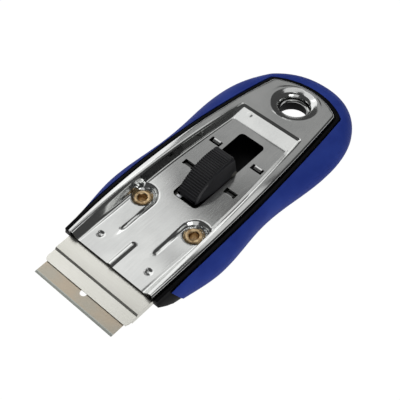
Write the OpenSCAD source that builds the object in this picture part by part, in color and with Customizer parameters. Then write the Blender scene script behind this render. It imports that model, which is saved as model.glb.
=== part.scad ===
// Retractable blade scraper: a pressed steel cover riveted on a moulded tray with a soft grip.
// A thumb slide carries a clamped single-edge blade in and out of the front mouth.
// The tool lies on its flat back with the cover upwards, and its blade points to -Y.
// Places along the tool are counted backwards from the cover's front edge.

/* [Blade] */
// Width of the blade
blade_w = 39; // [30:0.5:48]
// Depth of the blade from its edge to its back
blade_depth = 19; // [15:0.5:23]
// Thickness of the blade
blade_t = 0.25; // [0.15:0.01:0.35]
// Length of the blade that stands bare in front of its clamp
blade_bare = 5.9; // [4.8:0.1:7.2]
// Width of the ground bevel along the edge
bevel_w = 0.8; // [0.5:0.1:1.2]
// Radius of the hole in the blade's middle
blade_hole_r = 1.4; // [1:0.1:1.8]
// Width and depth of the notches in the blade's sides
notch_w = 2; // [1.5:0.1:2.5]

/* [Blade carrier] */
// Thickness of the carrier's and the lower jaw's sheet
carrier_t = 0.5; // [0.4:0.05:0.6]
// Length of the clamp strip from its front edge to the step
strip_len = 4.7; // [3.8:0.1:5.7]
// Height of the step from the clamp strip to the wide section
step_h = 0.85; // [0.7:0.05:1.02]
// Length of the sloping step
step_run = 1.2; // [0.9:0.1:1.6]
// Radius of the clamp strip's front corners
strip_corner_r = 2; // [1.5:0.1:2.5]
// Width of the neck between the rivets, as a share of the blade's width
neck_share = 0.36; // [0.31:0.005:0.42]
// Half width of the head behind the rivets
head_half_w = 12.5; // [12.2:0.1:13.4]
// Length of the head behind the slide
head_tail = 4; // [3:0.1:5]
// Length of the lower jaw's tongue under the neck
tongue_len = 8; // [6.5:0.1:9.6]
// Radius of the two rivets that hold the lower jaw
jaw_rivet_r = 1; // [0.8:0.05:1.2]

/* [Thumb slide] */
// Length of the slide
slide_len = 22.4; // [20:0.1:26.8]
// Height of the slide's arched top above the panel
slide_h = 9; // [8.4:0.1:10]
// Radius of the slide's arched top
slide_arch_r = 22; // [20:0.5:27]
// Half width of the ribbed top
slide_top_half_w = 4.5; // [4.1:0.1:5.2]
// Amount by which each flank leans out below the ribbed top
slide_lean = 1.35; // [1.1:0.05:1.6]
// Wall thickness at the rear of the slide
slide_wall = 1.4; // [1.1:0.1:1.7]
// Length of the solid nose at the slide's front
slide_nose = 3.4; // [3:0.1:4]
// Length of the overhang at the slide's rear
slide_overhang = 2.6; // [2:0.1:3]
// Number of grooves across the slide's top
groove_count = 20; // [14:1:24]
// Depth of the grooves
groove_depth = 0.4; // [0.3:0.05:0.5]
// Distance that the slide is pressed to free it
press = 1; // [0.8:0.05:1.2]
// Thickness of the lock spring's strip
lock_t = 0.25; // [0.2:0.01:0.3]

/* [Steel cover] */
// Thickness of the cover's sheet
sheet_t = 0.6; // [0.5:0.05:0.72]
// Height of the rails above the sunken panel, at the top of their arch
rail_h = 4.2; // [3.5:0.1:5]
// Radius of the lengthwise arch of the rails and the platform
crest_r = 550; // [460:10:660]
// Distance from the front edge to the top of the arch
crest_at = 46; // [38:1:55]
// Width of each rail at the front edge
rail_w = 2.2; // [1.9:0.1:2.6]
// Radius of the cover's bowed long sides
cover_side_r = 560; // [460:10:680]
// Distance from the front edge to the cover's widest place
cover_wide_at = 30; // [24:1:36]
// Radius of the cover's bowed rear edge
cover_rear_r = 26; // [22:0.5:31]
// Radius of the cover's rear corners
cover_corner_r = 2.4; // [1.9:0.1:2.9]
// Depth of the turned-down skirt round the cover
skirt_h = 2.6; // [2.1:0.1:3.1]
// Radius of the panel's bowed long sides
panel_side_r = 850; // [700:10:1020]
// Slope of the ramp behind the panel, in degrees
ramp_angle = 17; // [14:1:21]
// Radius of the slot's corners
slot_corner_r = 2; // [1.5:0.1:2.4]
// Depth of the rivet pockets
pocket_depth = 1.5; // [1.2:0.1:1.8]
// Length of the sloping floor in front of each rivet
pocket_run = 12.5; // [10.5:0.5:15]
// Length of the raised bead in the middle of the front edge
bead_len = 13; // [10:0.5:16]
// Half width of the bead
bead_half_w = 1.4; // [1.1:0.1:1.7]
// Height of the bead above the panel
bead_h = 0.9; // [0.7:0.1:1.1]
// Distance from the middle line to the small dimples
dimple_x = 12.2; // [10:0.1:14.6]
// Distance from the front edge to the small dimples
dimple_at = 7.4; // [6:0.1:9]
// Radius of the small dimples at the panel
dimple_r = 1.6; // [1.3:0.1:1.9]
// Depth of the small dimples
dimple_depth = 0.5; // [0.4:0.05:0.6]
// Length of the lanced tabs
tab_len = 1.6; // [1.3:0.1:1.9]
// Width of the lanced tabs
tab_w = 3.3; // [2.7:0.1:4]
// Width of the cut round each tab
tab_gap = 0.9; // [0.7:0.1:1.1]
// Angle by which the tabs are bent down, in degrees
tab_bend = 14; // [10:1:17]

/* [Rivets] */
// Outer radius of the hollow rivets' tube
rivet_r = 2.3; // [1.9:0.1:2.8]
// Wall of the hollow rivets
rivet_wall = 0.5; // [0.4:0.05:0.6]
// Radius of the rivets' rolled flange
rivet_flange_r = 3.35; // [3.1:0.05:4]
// Thickness of the rolled flanges
rivet_flange_t = 0.6; // [0.5:0.05:0.7]
// Outer radius of the washers
washer_r = 4.6; // [4:0.1:5.5]
// Thickness of the washers
washer_t = 0.5; // [0.4:0.05:0.6]

/* [Hanging hole] */
// Inner radius of the steel collar in the hanging hole
collar_r = 5.65; // [4.7:0.05:6.7]
// Radius of the collar's rolled mouth
collar_roll_r = 3.2; // [2.7:0.1:3.8]
// Width of the shallow dish outside the rolled mouth
dish_w = 0.9; // [0.7:0.1:1.1]
// Slope of the dish, in degrees
dish_angle = 12; // [10:1:14]
// Depth of the collar's lower end below the panel's level
collar_drop = 3.9; // [3.2:0.1:4.6]
// Distance from the ramp's foot to the middle of the hole
hole_back = 22; // [21:0.5:26]
// Distance from the middle of the hole to the cover's rear edge
hole_tail = 11.6; // [11:0.1:13.8]

/* [Tray] */
// Thickness of the tray's floor
floor_t = 2; // [1.7:0.1:2.4]
// Height of the mouth's floor above the back
mouth_z = 6; // [5:0.1:7.2]
// Width of the black rim that shows round the cover
rim_w = 2.6; // [2.2:0.1:3.1]
// Drop from the cover's arch to the rim's top
rim_drop = 1.5; // [1.2:0.1:1.8]
// Width of the ledge under the cover's skirt
ledge_w = 1.4; // [1.2:0.1:1.6]
// Radius of the posts under the rivets
post_r = 4.3; // [3.6:0.1:5.1]
// Length of the nose at its top
nose_top_len = 6; // [5:0.5:7]
// Length of the nose at the back
nose_back_len = 12; // [10.5:0.5:14]
// Length of the undercut below the nose
undercut_len = 10; // [8.5:0.5:12]
// Height of the nose's lower edge above the back
undercut_h = 7.6; // [6.4:0.1:9]

/* [Soft grip] */
// Thickness of the nose beside the rim
nose_over = 0.7; // [0.5:0.1:0.9]
// Thickness of the grip at its bulge behind the nose
bulge_over = 4.2; // [3.5:0.1:5]
// Thickness of the grip at its waist
waist_over = 2.85; // [2.6:0.05:3.4]
// Thickness of the grip at its rear lobe
lobe_over = 8.3; // [7:0.1:10]
// Thickness of the grip behind the rim's rear end
tail_over = 8.2; // [7:0.1:9.8]
// Distance from the front edge to the bulge
bulge_at = 30; // [25:0.5:36]
// Distance from the front edge to the waist
waist_at = 56; // [47:0.5:66]
// Distance from the front edge to the rear lobe
lobe_at = 90; // [75:0.5:105]
// Depth of the grip's widest line below the arch
widest_drop = 8.2; // [7:0.1:9.7]
// Least height of the widest line above the back
widest_low = 2; // [1.7:0.1:2.4]
// Width of the rounding below the widest line
back_edge_w = 2.2; // [1.8:0.1:2.6]

/* [Hidden] */

// Overrun of every cut past the faces that it opens
over = 1;
// Clearance between pieces that slide past each other
run_gap = 0.3;
// Clearance between pieces that are seated, clamped or bonded
seat_gap = 0.05;
// Clearance round a rivet, a peg or a pin in its hole
pin_gap = 0.05;
// Steps along a bowed side, round a corner and round the rear
side_steps = 14;
corner_steps = 5;
rear_steps = 8;
round_steps = 12;
roll_steps = 6;
// Faces of a round piece, and of the long arch
round_fn = 64;
arch_fn = 720;

// The blade's back lies just behind the cover's front edge when it is out
blade_tail = 0.2;
blade_reach = blade_depth - blade_tail;
// The blade is drawn in until its edge is flush with the cover's front edge, and a little further
draw_in = 0.2;
travel = blade_reach + draw_in;
blade_half = blade_w / 2;
neck_half_w = neck_share * blade_half;

// Carrier, from the front to the rear
strip_front = blade_bare - blade_reach;
step_front = strip_front + strip_len;
step_rear = step_front + step_run;
section_tail = 0.8;
section_rear = blade_tail + section_tail;
jaw_inset = 0.5;
jaw_front = strip_front + jaw_inset;
jaw_tail = 3.8;
jaw_rear = blade_tail + jaw_tail;
tongue_run = 1.5;
tongue_rear = jaw_rear + tongue_len;
tongue_side = 0.5;
jaw_side = 0.6;
jaw_half = blade_half + jaw_side;
carrier_half = jaw_half + run_gap + carrier_t;
flange_lead = 2.9;
flange_front = strip_front + flange_lead;
flange_lift = 0.2;

// Heights, from the mouth's floor up
jaw_lift = 0.4;
jaw_z = mouth_z + jaw_lift;
blade_z = jaw_z + carrier_t + seat_gap;
strip_z = blade_z + blade_t + seat_gap;
section_z = strip_z + step_h;
carrier_z = section_z + carrier_t;
panel_gap = 0.8;
panel_z = carrier_z + panel_gap + sheet_t;
crest_z = panel_z + rail_h;
slide_z = panel_z + slide_h;

// Tray's mouth and posts
mouth_side = 0.4;
mouth_half = carrier_half + mouth_side;
mouth_lift = 0.25;
mouth_top = carrier_z + mouth_lift;
mouth_tail = 2.6;
mouth_rear = jaw_rear + travel + mouth_tail;
post_gap = 0.2;
rivet_at = mouth_rear + post_gap + post_r;
neck_gap = 1.9;
rivet_x = neck_half_w + neck_gap + post_r;

// Head, slot and slide behind the rivets
head_gap = 3.6;
head_front = rivet_at + post_r + head_gap;
slot_land = 0.6;
slot_front = head_front + slot_land;
slide_lead = 1.6;
slide_front = slot_front + slide_lead;
slide_rear = slide_front + slide_len;
slide_base_rear = slide_rear - slide_overhang;
head_rear = slide_base_rear + head_tail;
slot_tail = 0.6;
slot_rear = slide_base_rear + travel + slot_tail;
slide_half = slide_top_half_w + slide_lean;
slot_half = slide_half + run_gap;
ramp_gap = 2.4;
ramp_foot = slide_rear + travel + ramp_gap;

// Hanging hole and rear ends
hole_at = ramp_foot + hole_back;
cover_len = hole_at + hole_tail;
grip_len = cover_len + rim_w + tail_over;
collar_z = panel_z - collar_drop;
collar_gap = 0.1;
dish_r = collar_r + collar_roll_r + dish_w;
roll_bite = 0.2;
hub_wall = 2.7;
hub_hole_gap = 0.55;
hub_hole_r = collar_r + sheet_t + hub_hole_gap;
hub_r = hub_hole_r + hub_wall;

// Cover's outline
cover_lap = 0.6;
cover_half = carrier_half + cover_lap;
side_centre = [cover_half - cover_side_r, cover_wide_at];
rear_centre = [0, cover_len - cover_rear_r];
corner_centre = meet(side_centre, cover_side_r - cover_corner_r,
                     rear_centre, cover_rear_r - cover_corner_r);
side_end = angle_to(side_centre, corner_centre);
corner_end = angle_to(rear_centre, corner_centre);
panel_wide_at = 5;
panel_half = cover_half_at(0) - rail_w;
crest_centre = [crest_at, crest_z - crest_r];

// Rivet pockets, dimples and lanced tabs
pocket_land = 1.65;
pocket_r = rivet_flange_r + pocket_land;
pocket_shift = 0.3;
pocket_x = rivet_x + pocket_shift;
pocket_lead = 3.1;
pocket_deep_at = rivet_at - pocket_lead;
pocket_front = pocket_deep_at - pocket_run;
pocket_z = panel_z - pocket_depth;
dimple_ball_r = (dimple_r * dimple_r + dimple_depth * dimple_depth) / (2 * dimple_depth);
bead_ball_r = (bead_half_w * bead_half_w + bead_h * bead_h) / (2 * bead_h);
drag_len = 13.4;
drag_back = 2.7;
drag_mid = head_rear - drag_back;
drag_t = 0.2;
drag_w = 3.6;
tab_reach = drag_len / 2 + tab_gap + tab_len;
tab_side = 4.45;
tab_x = slot_half + tab_side;

// Saddle, pin and lock spring inside the slide
slide_low = carrier_z + press + run_gap;
saddle_front = slide_front + slide_nose + run_gap;
saddle_rear = slide_base_rear - slide_wall - run_gap;
saddle_t = 1;
saddle_wall = 1;
saddle_z = carrier_z + seat_gap;
saddle_wall_h = 3.65;
saddle_top = saddle_z + saddle_wall_h;
slide_side = 1.65;
slide_inner = slide_half - slide_side;
saddle_half = slide_inner - run_gap;
slide_roof = saddle_top + press + run_gap;
peg_r = 1.2;
peg_head_r = 1.9;
peg_head_t = 0.5;
peg_inset = 2.7;
pin_r = 0.8;
pin_inset = 1.9;
pin_at = saddle_rear - pin_inset;
pin_drop = 1.1;
pin_z = saddle_top - pin_drop;
pin_bite = 0.7;
lock_z = saddle_z + saddle_t + seat_gap;
lock_gap = 0.1;
lock_rear_gap = 0.8;
lock_rear = pin_at - pin_r - lock_rear_gap;
lock_tip_lead = 3.2;
lock_tip = saddle_front + lock_tip_lead;
lock_half = saddle_half - saddle_wall - run_gap;
finger_w = 2;
overhang_z = panel_z + press + run_gap;
arch_lead_share = 0.72;
arch_centre = [slide_front + arch_lead_share * slide_len, slide_z - slide_arch_r];
slide_edge_w = 0.35;
slide_edge_h = 0.6;
slide_rear_edge = 2.5;
groove_lead = 1.2;
slide_bevel = 0.8;
arch_front_turn = asin((arch_centre[0] - slide_front) / slide_arch_r);
arch_rear_turn = asin((slide_rear - arch_centre[0]) / slide_arch_r);
arch_len = PI * slide_arch_r * (arch_front_turn + arch_rear_turn) / 180;
groove_pitch = (arch_len - groove_lead - slide_rear_edge) / groove_count;
flank_h = 7.4;

// Grip and nose
grip_front = 0;
key_at = [grip_front, bulge_at, waist_at, lobe_at];
key_half = [rim_half_at(grip_front) + nose_over, rim_half_at(bulge_at) + bulge_over,
            rim_half_at(waist_at) + waist_over, rim_half_at(lobe_at) + lobe_over];
lobe_power = 2.2;
lobe_end = 86;
grip_side_steps = 15;
lobe_steps = 14;
shoulder_steps = 6;
back_steps = 3;
// The form's inner ring lies inside the rim, where the tray's wall cuts it
ring_tuck = 1;
station_count = grip_side_steps + 1 + lobe_steps;

// Underside
recess_play = 0.6;
recess_r = washer_r + recess_play;
flange_lift_z = 0.2;
recess_z = flange_lift_z + rivet_flange_t + washer_t;
rest_rib_w = 1.2;
rest_rib_gap = 0.15;
rest_rib_inset = 0.3;

// The frame's origin is below the middle of the box round the tool with its blade out
front_y = (blade_reach - grip_len) / 2;
// Reach of the wide cuts, past every side of the tool
wide = grip_len;

// Angle of the line from one point to another
function angle_to(a, b) = atan2(b[1] - a[1], b[0] - a[0]);
// Rear one of the two points where two circles meet
function meet(a, ra, b, rb) =
    let (v = b - a, l = norm(v), u = v / l, t = (ra * ra - rb * rb + l * l) / (2 * l))
    a + t * u + sqrt(ra * ra - t * t) * [-u[1], u[0]];
function arc(centre, r, from, to, steps) =
    [for (i = [0:steps]) let (a = from + (to - from) * i / steps) centre + r * [cos(a), sin(a)]];
function but_first(list) = [for (i = [1:len(list) - 1]) list[i]];
// A right-hand outline joined to its mirror image
function both_sides(right) =
    concat(right, [for (i = [len(right) - 1:-1:0]) if (right[i][0] > 0) [-right[i][0], right[i][1]]]);
// Half widths of the cover, the rim and the sunken panel at a distance from the front edge
function cover_half_at(d) =
    side_centre[0] + sqrt(cover_side_r * cover_side_r - pow(d - cover_wide_at, 2));
function rim_half_at(d) = cover_half_at(d) + rim_w;
function panel_half_at(d) =
    panel_half - panel_side_r + sqrt(panel_side_r * panel_side_r - pow(d - panel_wide_at, 2));
// Height of the lengthwise arch
function crest(d) = crest_centre[1] + sqrt(crest_r * crest_r - pow(d - crest_at, 2));

// The cover's outline, moved inwards by an inset, from just before the front edge
function cover_outline(inset) =
    let (r = cover_side_r - inset, start = asin((-over - cover_wide_at) / r))
    both_sides(concat(
        arc(side_centre, r, start, side_end, side_steps),
        but_first(arc(corner_centre, cover_corner_r - inset, side_end, corner_end, corner_steps)),
        but_first(arc(rear_centre, cover_rear_r - inset, corner_end, 90, rear_steps))));

// The sunken panel's outline, moved outwards by a margin
function panel_outline(margin, front, rear) =
    both_sides([for (i = [0:side_steps]) let (d = front + (rear - front) * i / side_steps)
                [panel_half_at(d) + margin, d]]);

module placed() {
    translate([0, front_y, 0]) children();
}

// Extrudes a side view across the tool
module across(half) {
    rotate([90, 0, 90]) translate([0, 0, -half]) linear_extrude(2 * half) children();
}

module both() {
    children();
    mirror([1, 0, 0]) children();
}

// Everything under the lengthwise arch, lowered by a drop
module under_crest(drop) {
    across(wide) translate(crest_centre) circle(r = crest_r - drop, $fn = arch_fn);
}

// Everything before the front edge
module before_front() {
    translate([-wide, -wide, -wide]) cube([2 * wide, wide, 2 * wide]);
}

module rounded_slot(half, front, rear, r) {
    translate([r - half, front + r]) square([2 * (half - r), rear - front - 2 * r]);
    translate([-half, front + r]) square([2 * half, rear - front - 2 * r]);
    translate([r - half, front]) square([2 * (half - r), rear - front]);
    for (x = [r - half, half - r], d = [front + r, rear - r])
        translate([x, d]) circle(r = r, $fn = round_fn);
}

// Space above the sunken panel and its ramp, grown by a sheet's depth
module panel_space(grow) {
    foot = ramp_foot + grow * tan(ramp_angle / 2);
    rise = crest_z + over - panel_z + grow;
    intersection() {
        linear_extrude(crest_z + 2 * over)
            polygon(panel_outline(grow, -over, hole_at));
        across(wide) polygon([
            [-over, panel_z - grow], [foot, panel_z - grow],
            [foot + rise / tan(ramp_angle), crest_z + over], [-over, crest_z + over]]);
    }
}

// Sunken pocket round a rivet, open to the rail's wall, with a floor that slopes up to the front
module pocket_space(grow) {
    r = pocket_r + grow;
    intersection() {
        linear_extrude(panel_z) polygon(concat(
            [[pocket_x + r, pocket_front], [pocket_x + r, rivet_at]],
            but_first(arc([pocket_x, rivet_at], r, 0, 180, round_steps)),
            [[pocket_x - r, pocket_front]]));
        linear_extrude(panel_z) polygon(panel_outline(grow, -over, hole_at));
        across(wide) polygon([
            [pocket_front, panel_z - grow], [pocket_deep_at, pocket_z - grow],
            [cover_len, pocket_z - grow], [cover_len, panel_z], [pocket_front, panel_z]]);
    }
}

module dimple_space(grow) {
    translate([dimple_x, dimple_at, panel_z - dimple_depth + dimple_ball_r])
        sphere(r = dimple_ball_r + grow, $fn = round_fn);
}

// Raised bead in the middle of the front edge, shrunk by a sheet's depth
module bead(shrink) {
    z = panel_z + bead_h - bead_ball_r;
    r = bead_ball_r - shrink;
    translate([0, bead_len - bead_ball_r, z]) {
        rotate([90, 0, 0]) cylinder(r = r, h = bead_len + over, $fn = round_fn);
        sphere(r = r, $fn = round_fn);
    }
}

// Rolled mouth of the hanging hole, square to the sloping platform, and its upright collar
module collar_space(grow) {
    slope = asin((hole_at - crest_at) / crest_r);
    roll_x = collar_r - roll_bite + collar_roll_r;
    roll_z = -(dish_r - roll_x) * tan(dish_angle) - collar_roll_r / cos(dish_angle);
    rise = over / 2;
    mouth = concat(
        [[0, roll_z], [roll_x - collar_roll_r + grow, roll_z]],
        but_first(arc([roll_x, roll_z], collar_roll_r - grow, 180, 90 + dish_angle, roll_steps)),
        [[dish_r + (rise + grow / cos(dish_angle)) / tan(dish_angle), rise], [0, rise]]);
    translate([0, hole_at, crest(hole_at)]) rotate([-slope, 0, 0])
        rotate_extrude($fn = round_fn) polygon(mouth);
    translate([0, hole_at, 0]) cylinder(r = collar_r + grow, h = crest_z, $fn = round_fn);
}

// Solid under the cover's outer surface, moved in by a sheet's depth
module cover_form(depth, low) {
    difference() {
        union() {
            difference() {
                intersection() {
                    translate([0, 0, low]) linear_extrude(crest_z) polygon(cover_outline(depth));
                    under_crest(depth);
                }
                panel_space(depth);
                both() pocket_space(depth);
                both() dimple_space(depth);
            }
            bead(depth);
        }
        collar_space(depth);
    }
}

// Lanced tab beside the slot, hinged away from the drag spring's end
module tab(way) {
    hinge = drag_mid - way * tab_reach;
    root = sheet_t / 2;
    translate([tab_x - tab_w / 2, hinge, panel_z - sheet_t]) rotate([-way * tab_bend, 0, 0])
        translate([0, way > 0 ? -root : -tab_len, 0]) cube([tab_w, tab_len + root, sheet_t]);
}

module tab_cut(way) {
    hinge = drag_mid - way * tab_reach;
    w = tab_w + 2 * tab_gap;
    translate([tab_x - w / 2, way > 0 ? hinge : hinge - tab_len - tab_gap, panel_z - sheet_t - over])
        cube([w, tab_len + tab_gap, sheet_t + 2 * over]);
}

module top_cover() {
    color([0.74, 0.74, 0.72]) placed() {
        difference() {
            cover_form(0, collar_z);
            cover_form(sheet_t, collar_z - over);
            before_front();
            intersection() {
                difference() {
                    linear_extrude(crest_z) polygon(cover_outline(-over));
                    translate([0, 0, -over]) linear_extrude(crest_z + 2 * over)
                        polygon(cover_outline(sheet_t));
                }
                under_crest(skirt_h);
            }
            translate([0, 0, panel_z - sheet_t - over]) linear_extrude(sheet_t + 2 * over)
                rounded_slot(slot_half, slot_front, slot_rear, slot_corner_r);
            both() translate([rivet_x, rivet_at, 0])
                cylinder(r = rivet_r + pin_gap, h = panel_z, $fn = round_fn);
            both() tab_cut(1);
            both() tab_cut(-1);
        }
        both() tab(1);
        both() tab(-1);
    }
}

// Half width of the widest line along the sides, easing from one key place to the next
function grip_half_at(d) =
    let (k = d < key_at[1] ? 0 : d < key_at[2] ? 1 : 2,
         ease = (1 - cos(180 * (d - key_at[k]) / (key_at[k + 1] - key_at[k]))) / 2)
    key_half[k] + (key_half[k + 1] - key_half[k]) * ease;
function lobe_point(a) =
    [key_half[3] * pow(cos(a), 2 / lobe_power),
     lobe_at + (grip_len - lobe_at) * pow(sin(a), 2 / lobe_power)];
function widest(i) =
    i <= grip_side_steps
    ? let (d = grip_front + (lobe_at - grip_front) * i / grip_side_steps) [grip_half_at(d), d]
    : lobe_point(lobe_end * (i - grip_side_steps) / lobe_steps);
// Distance from a point inside a circle to the circle, along a direction
function to_circle(p, u, centre, r) =
    let (q = p - centre, b = q * u) sqrt(b * b - q * q + r * r) - b;
// Point inside the rim that belongs to a station of the widest line
function rim_point(i) =
    let (e = widest(i))
    i <= grip_side_steps ? [rim_half_at(e[1]) - ring_tuck, e[1]]
    : let (p = [0, lobe_at], u = (e - p) / norm(e - p), out = rim_w - ring_tuck,
           far = min(to_circle(p, u, side_centre, cover_side_r + out),
                     to_circle(p, u, rear_centre, cover_rear_r + out)))
      p + far * u;

// Cross-section of the grip at a station, from the rim over the shoulder to the back
function grip_section(i) =
    let (e = widest(i), b = rim_point(i), top = crest(b[1]) - rim_drop,
         mid = max(widest_low, crest(e[1]) - widest_drop), out = (e - b) / norm(e - b))
    concat(
        [for (j = [0:shoulder_steps]) let (a = 90 * j / shoulder_steps, p = b + (e - b) * sin(a))
         [p[0], p[1], mid + (top - mid) * cos(a)]],
        [for (j = [1:back_steps]) let (a = 90 * j / back_steps,
                                       p = e - out * back_edge_w * (1 - cos(a)))
         [p[0], p[1], mid * (1 - sin(a))]]);

// Outer surface of nose and grip as one closed solid, from rings of points
module grip_form() {
    n = station_count;
    levels = shoulder_steps + back_steps + 1;
    right = [for (i = [0:n - 1]) grip_section(i)];
    points = [for (k = [0:2 * n - 1], j = [0:levels - 1])
              let (p = right[k < n ? k : 2 * n - 1 - k][j]) k < n ? p : [-p[0], p[1], p[2]]];
    sides = [for (k = [0:2 * n - 1], j = [0:levels - 2])
             let (m = (k + 1) % (2 * n), a = k * levels + j, b = m * levels + j)
             each k < n ? [[a, b, a + 1], [b, b + 1, a + 1]] : [[a, b + 1, a + 1], [a, b, b + 1]]];
    top = [for (i = [0:n - 2]) let (a = i * levels, b = a + levels, c = (2 * n - 1 - i) * levels)
           each [[a, c - levels, b], [a, c, c - levels]]];
    back = [for (i = [0:n - 2])
            let (a = (i + 1) * levels - 1, b = a + levels, c = (2 * n - i) * levels - 1)
            each [[a, b, c - levels], [a, c - levels, c]]];
    polyhedron(points = points, faces = concat(sides, top, back), convexity = 4);
}

// Front part of the form, up to the slanted seam between nose and grip
module nose_space(gap) {
    seam_top = crest(0) - rim_drop;
    lean = (nose_back_len - nose_top_len) / seam_top;
    across(wide) polygon([
        [-over, -over], [nose_back_len + gap + over * lean, -over],
        [nose_top_len + gap - over * lean, seam_top + over], [-over, seam_top + over]]);
}

module rim_prism(margin, low) {
    translate([0, 0, low]) linear_extrude(2 * crest_z) polygon(cover_outline(-margin));
}

module soft_grip() {
    color([0.17, 0.24, 0.48]) placed() difference() {
        grip_form();
        rim_prism(rim_w + seat_gap, -over);
        nose_space(seat_gap);
    }
}

module tray_block() {
    intersection() {
        rim_prism(rim_w, 0);
        under_crest(rim_drop);
    }
    difference() {
        intersection() {
            grip_form();
            nose_space(0);
        }
        rim_prism(rim_w - ring_tuck / 2, -over);
    }
}

// Space inside the tray: the seat of the cover, the hollow and the mouth
module tray_hollow() {
    difference() {
        linear_extrude(2 * crest_z) polygon(cover_outline(-2 * seat_gap));
        under_crest(skirt_h + seat_gap);
    }
    difference() {
        translate([0, 0, floor_t]) linear_extrude(crest_z) polygon(cover_outline(ledge_w));
        translate([-wide, -wide, -over]) cube([2 * wide, wide + mouth_rear, mouth_z + over]);
    }
    translate([-mouth_half, -over, mouth_z]) cube([2 * mouth_half, mouth_rear + over, mouth_top - mouth_z]);
}

module undercut() {
    slope = undercut_h / undercut_len;
    across(wide) polygon([
        [-over, -over], [undercut_len + over / slope, -over], [-over, undercut_h + over * slope]]);
}

module body_tray() {
    rib_x = head_half_w - rest_rib_inset - rest_rib_w;
    rib_rear = head_rear + travel + over;
    color([0.1, 0.1, 0.11]) placed() difference() {
        union() {
            difference() {
                tray_block();
                before_front();
                tray_hollow();
                undercut();
            }
            both() translate([rivet_x, rivet_at, 0])
                cylinder(r = post_r, h = pocket_z - sheet_t - seat_gap, $fn = round_fn);
            both() translate([rib_x, head_front, 0])
                cube([rest_rib_w, rib_rear - head_front, section_z - rest_rib_gap]);
            translate([0, hole_at, 0]) cylinder(r = hub_r, h = collar_z - collar_gap, $fn = round_fn);
        }
        both() translate([rivet_x, rivet_at, -over]) {
            cylinder(r = rivet_r + pin_gap, h = panel_z, $fn = round_fn);
            cylinder(r = recess_r, h = recess_z + over, $fn = round_fn);
        }
        translate([0, hole_at, -over]) cylinder(r = hub_hole_r, h = panel_z, $fn = round_fn);
    }
}

// Hollow rivet with a rolled flange at each end
module rivet() {
    top = pocket_z + seat_gap;
    low = recess_z - washer_t - seat_gap;
    bore = rivet_r - rivet_wall;
    roll = rivet_flange_t / 2;
    mid = rivet_flange_r - roll;
    rotate_extrude($fn = round_fn) polygon(concat(
        [[bore, low - rivet_flange_t], [mid, low - rivet_flange_t]],
        but_first(arc([mid, low - roll], roll, -90, 90, roll_steps)),
        [[rivet_r, low], [rivet_r, top]],
        arc([mid, top + roll], roll, -90, 90, roll_steps),
        [[bore, top + rivet_flange_t]]));
}

module rivet_left() {
    color([0.7, 0.54, 0.32]) placed() translate([-rivet_x, rivet_at, 0]) rivet();
}

module rivet_right() {
    color([0.7, 0.54, 0.32]) placed() translate([rivet_x, rivet_at, 0]) rivet();
}

module washer() {
    translate([0, 0, recess_z - washer_t]) difference() {
        cylinder(r = washer_r, h = washer_t - seat_gap, $fn = round_fn);
        translate([0, 0, -over])
            cylinder(r = rivet_r + pin_gap, h = washer_t + 2 * over, $fn = round_fn);
    }
}

module washer_left() {
    color([0.6, 0.6, 0.6]) placed() translate([-rivet_x, rivet_at, 0]) washer();
}

module washer_right() {
    color([0.6, 0.6, 0.6]) placed() translate([rivet_x, rivet_at, 0]) washer();
}

// Bowed strip between the panel and the carrier's head
module drag_spring() {
    high = panel_z - sheet_t - seat_gap;
    dip = high - drag_t - carrier_z - seat_gap;
    function bow(s) = high - dip * cos(90 * s);
    steps = round_steps;
    translate([tab_x, 0, 0]) across(drag_w / 2) polygon(concat(
        [for (i = [0:steps]) let (s = 2 * i / steps - 1) [drag_mid + s * drag_len / 2, bow(s)]],
        [for (i = [steps:-1:0]) let (s = 2 * i / steps - 1)
         [drag_mid + s * drag_len / 2, bow(s) - drag_t]]));
}

module drag_spring_left() {
    color([0.62, 0.62, 0.64]) placed() mirror([1, 0, 0]) drag_spring();
}

module drag_spring_right() {
    color([0.62, 0.62, 0.64]) placed() drag_spring();
}

// Plan of the carrier: clamp strip and wide section, neck and head
module carrier_plan() {
    r = strip_corner_r;
    translate([-carrier_half, strip_front + r])
        square([2 * carrier_half, section_rear - strip_front - r]);
    translate([r - carrier_half, strip_front]) square([2 * (carrier_half - r), 2 * r]);
    for (x = [r - carrier_half, carrier_half - r])
        translate([x, strip_front + r]) circle(r = r, $fn = round_fn);
    translate([-neck_half_w, section_rear - over])
        square([2 * neck_half_w, head_rear - section_rear]);
    rounded_slot(head_half_w, head_front, head_rear, strip_corner_r);
}

// Side view of the carrier's sheet, down to a given depth below its top
module carrier_side(front, rear, depth) {
    top = strip_z + carrier_t;
    polygon([
        [front, top - depth], [step_front, top - depth],
        [step_rear, carrier_z - depth], [rear, carrier_z - depth],
        [rear, carrier_z], [step_rear, carrier_z], [step_front, top], [front, top]]);
}

module blade_carrier() {
    flange_z = mouth_z + flange_lift;
    color([0.8, 0.79, 0.76]) placed() difference() {
        union() {
            intersection() {
                linear_extrude(crest_z) carrier_plan();
                across(wide) carrier_side(strip_front, head_rear, carrier_t);
            }
            both() translate([carrier_half - carrier_t / 2, 0, 0]) across(carrier_t / 2)
                polygon([
                    [flange_front, flange_z], [section_rear, flange_z], [section_rear, carrier_z],
                    [step_rear, carrier_z], [step_front, strip_z + carrier_t],
                    [flange_front, strip_z + carrier_t]]);
        }
        for (d = [saddle_front + peg_inset, saddle_rear - peg_inset])
            translate([0, d, 0]) cylinder(r = peg_r + pin_gap, h = crest_z, $fn = round_fn);
        for (x = [-neck_half_w / 2, neck_half_w / 2])
            translate([x, tongue_rear - tongue_len / 2, 0])
                cylinder(r = jaw_rivet_r + pin_gap, h = crest_z, $fn = round_fn);
    }
}

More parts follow.
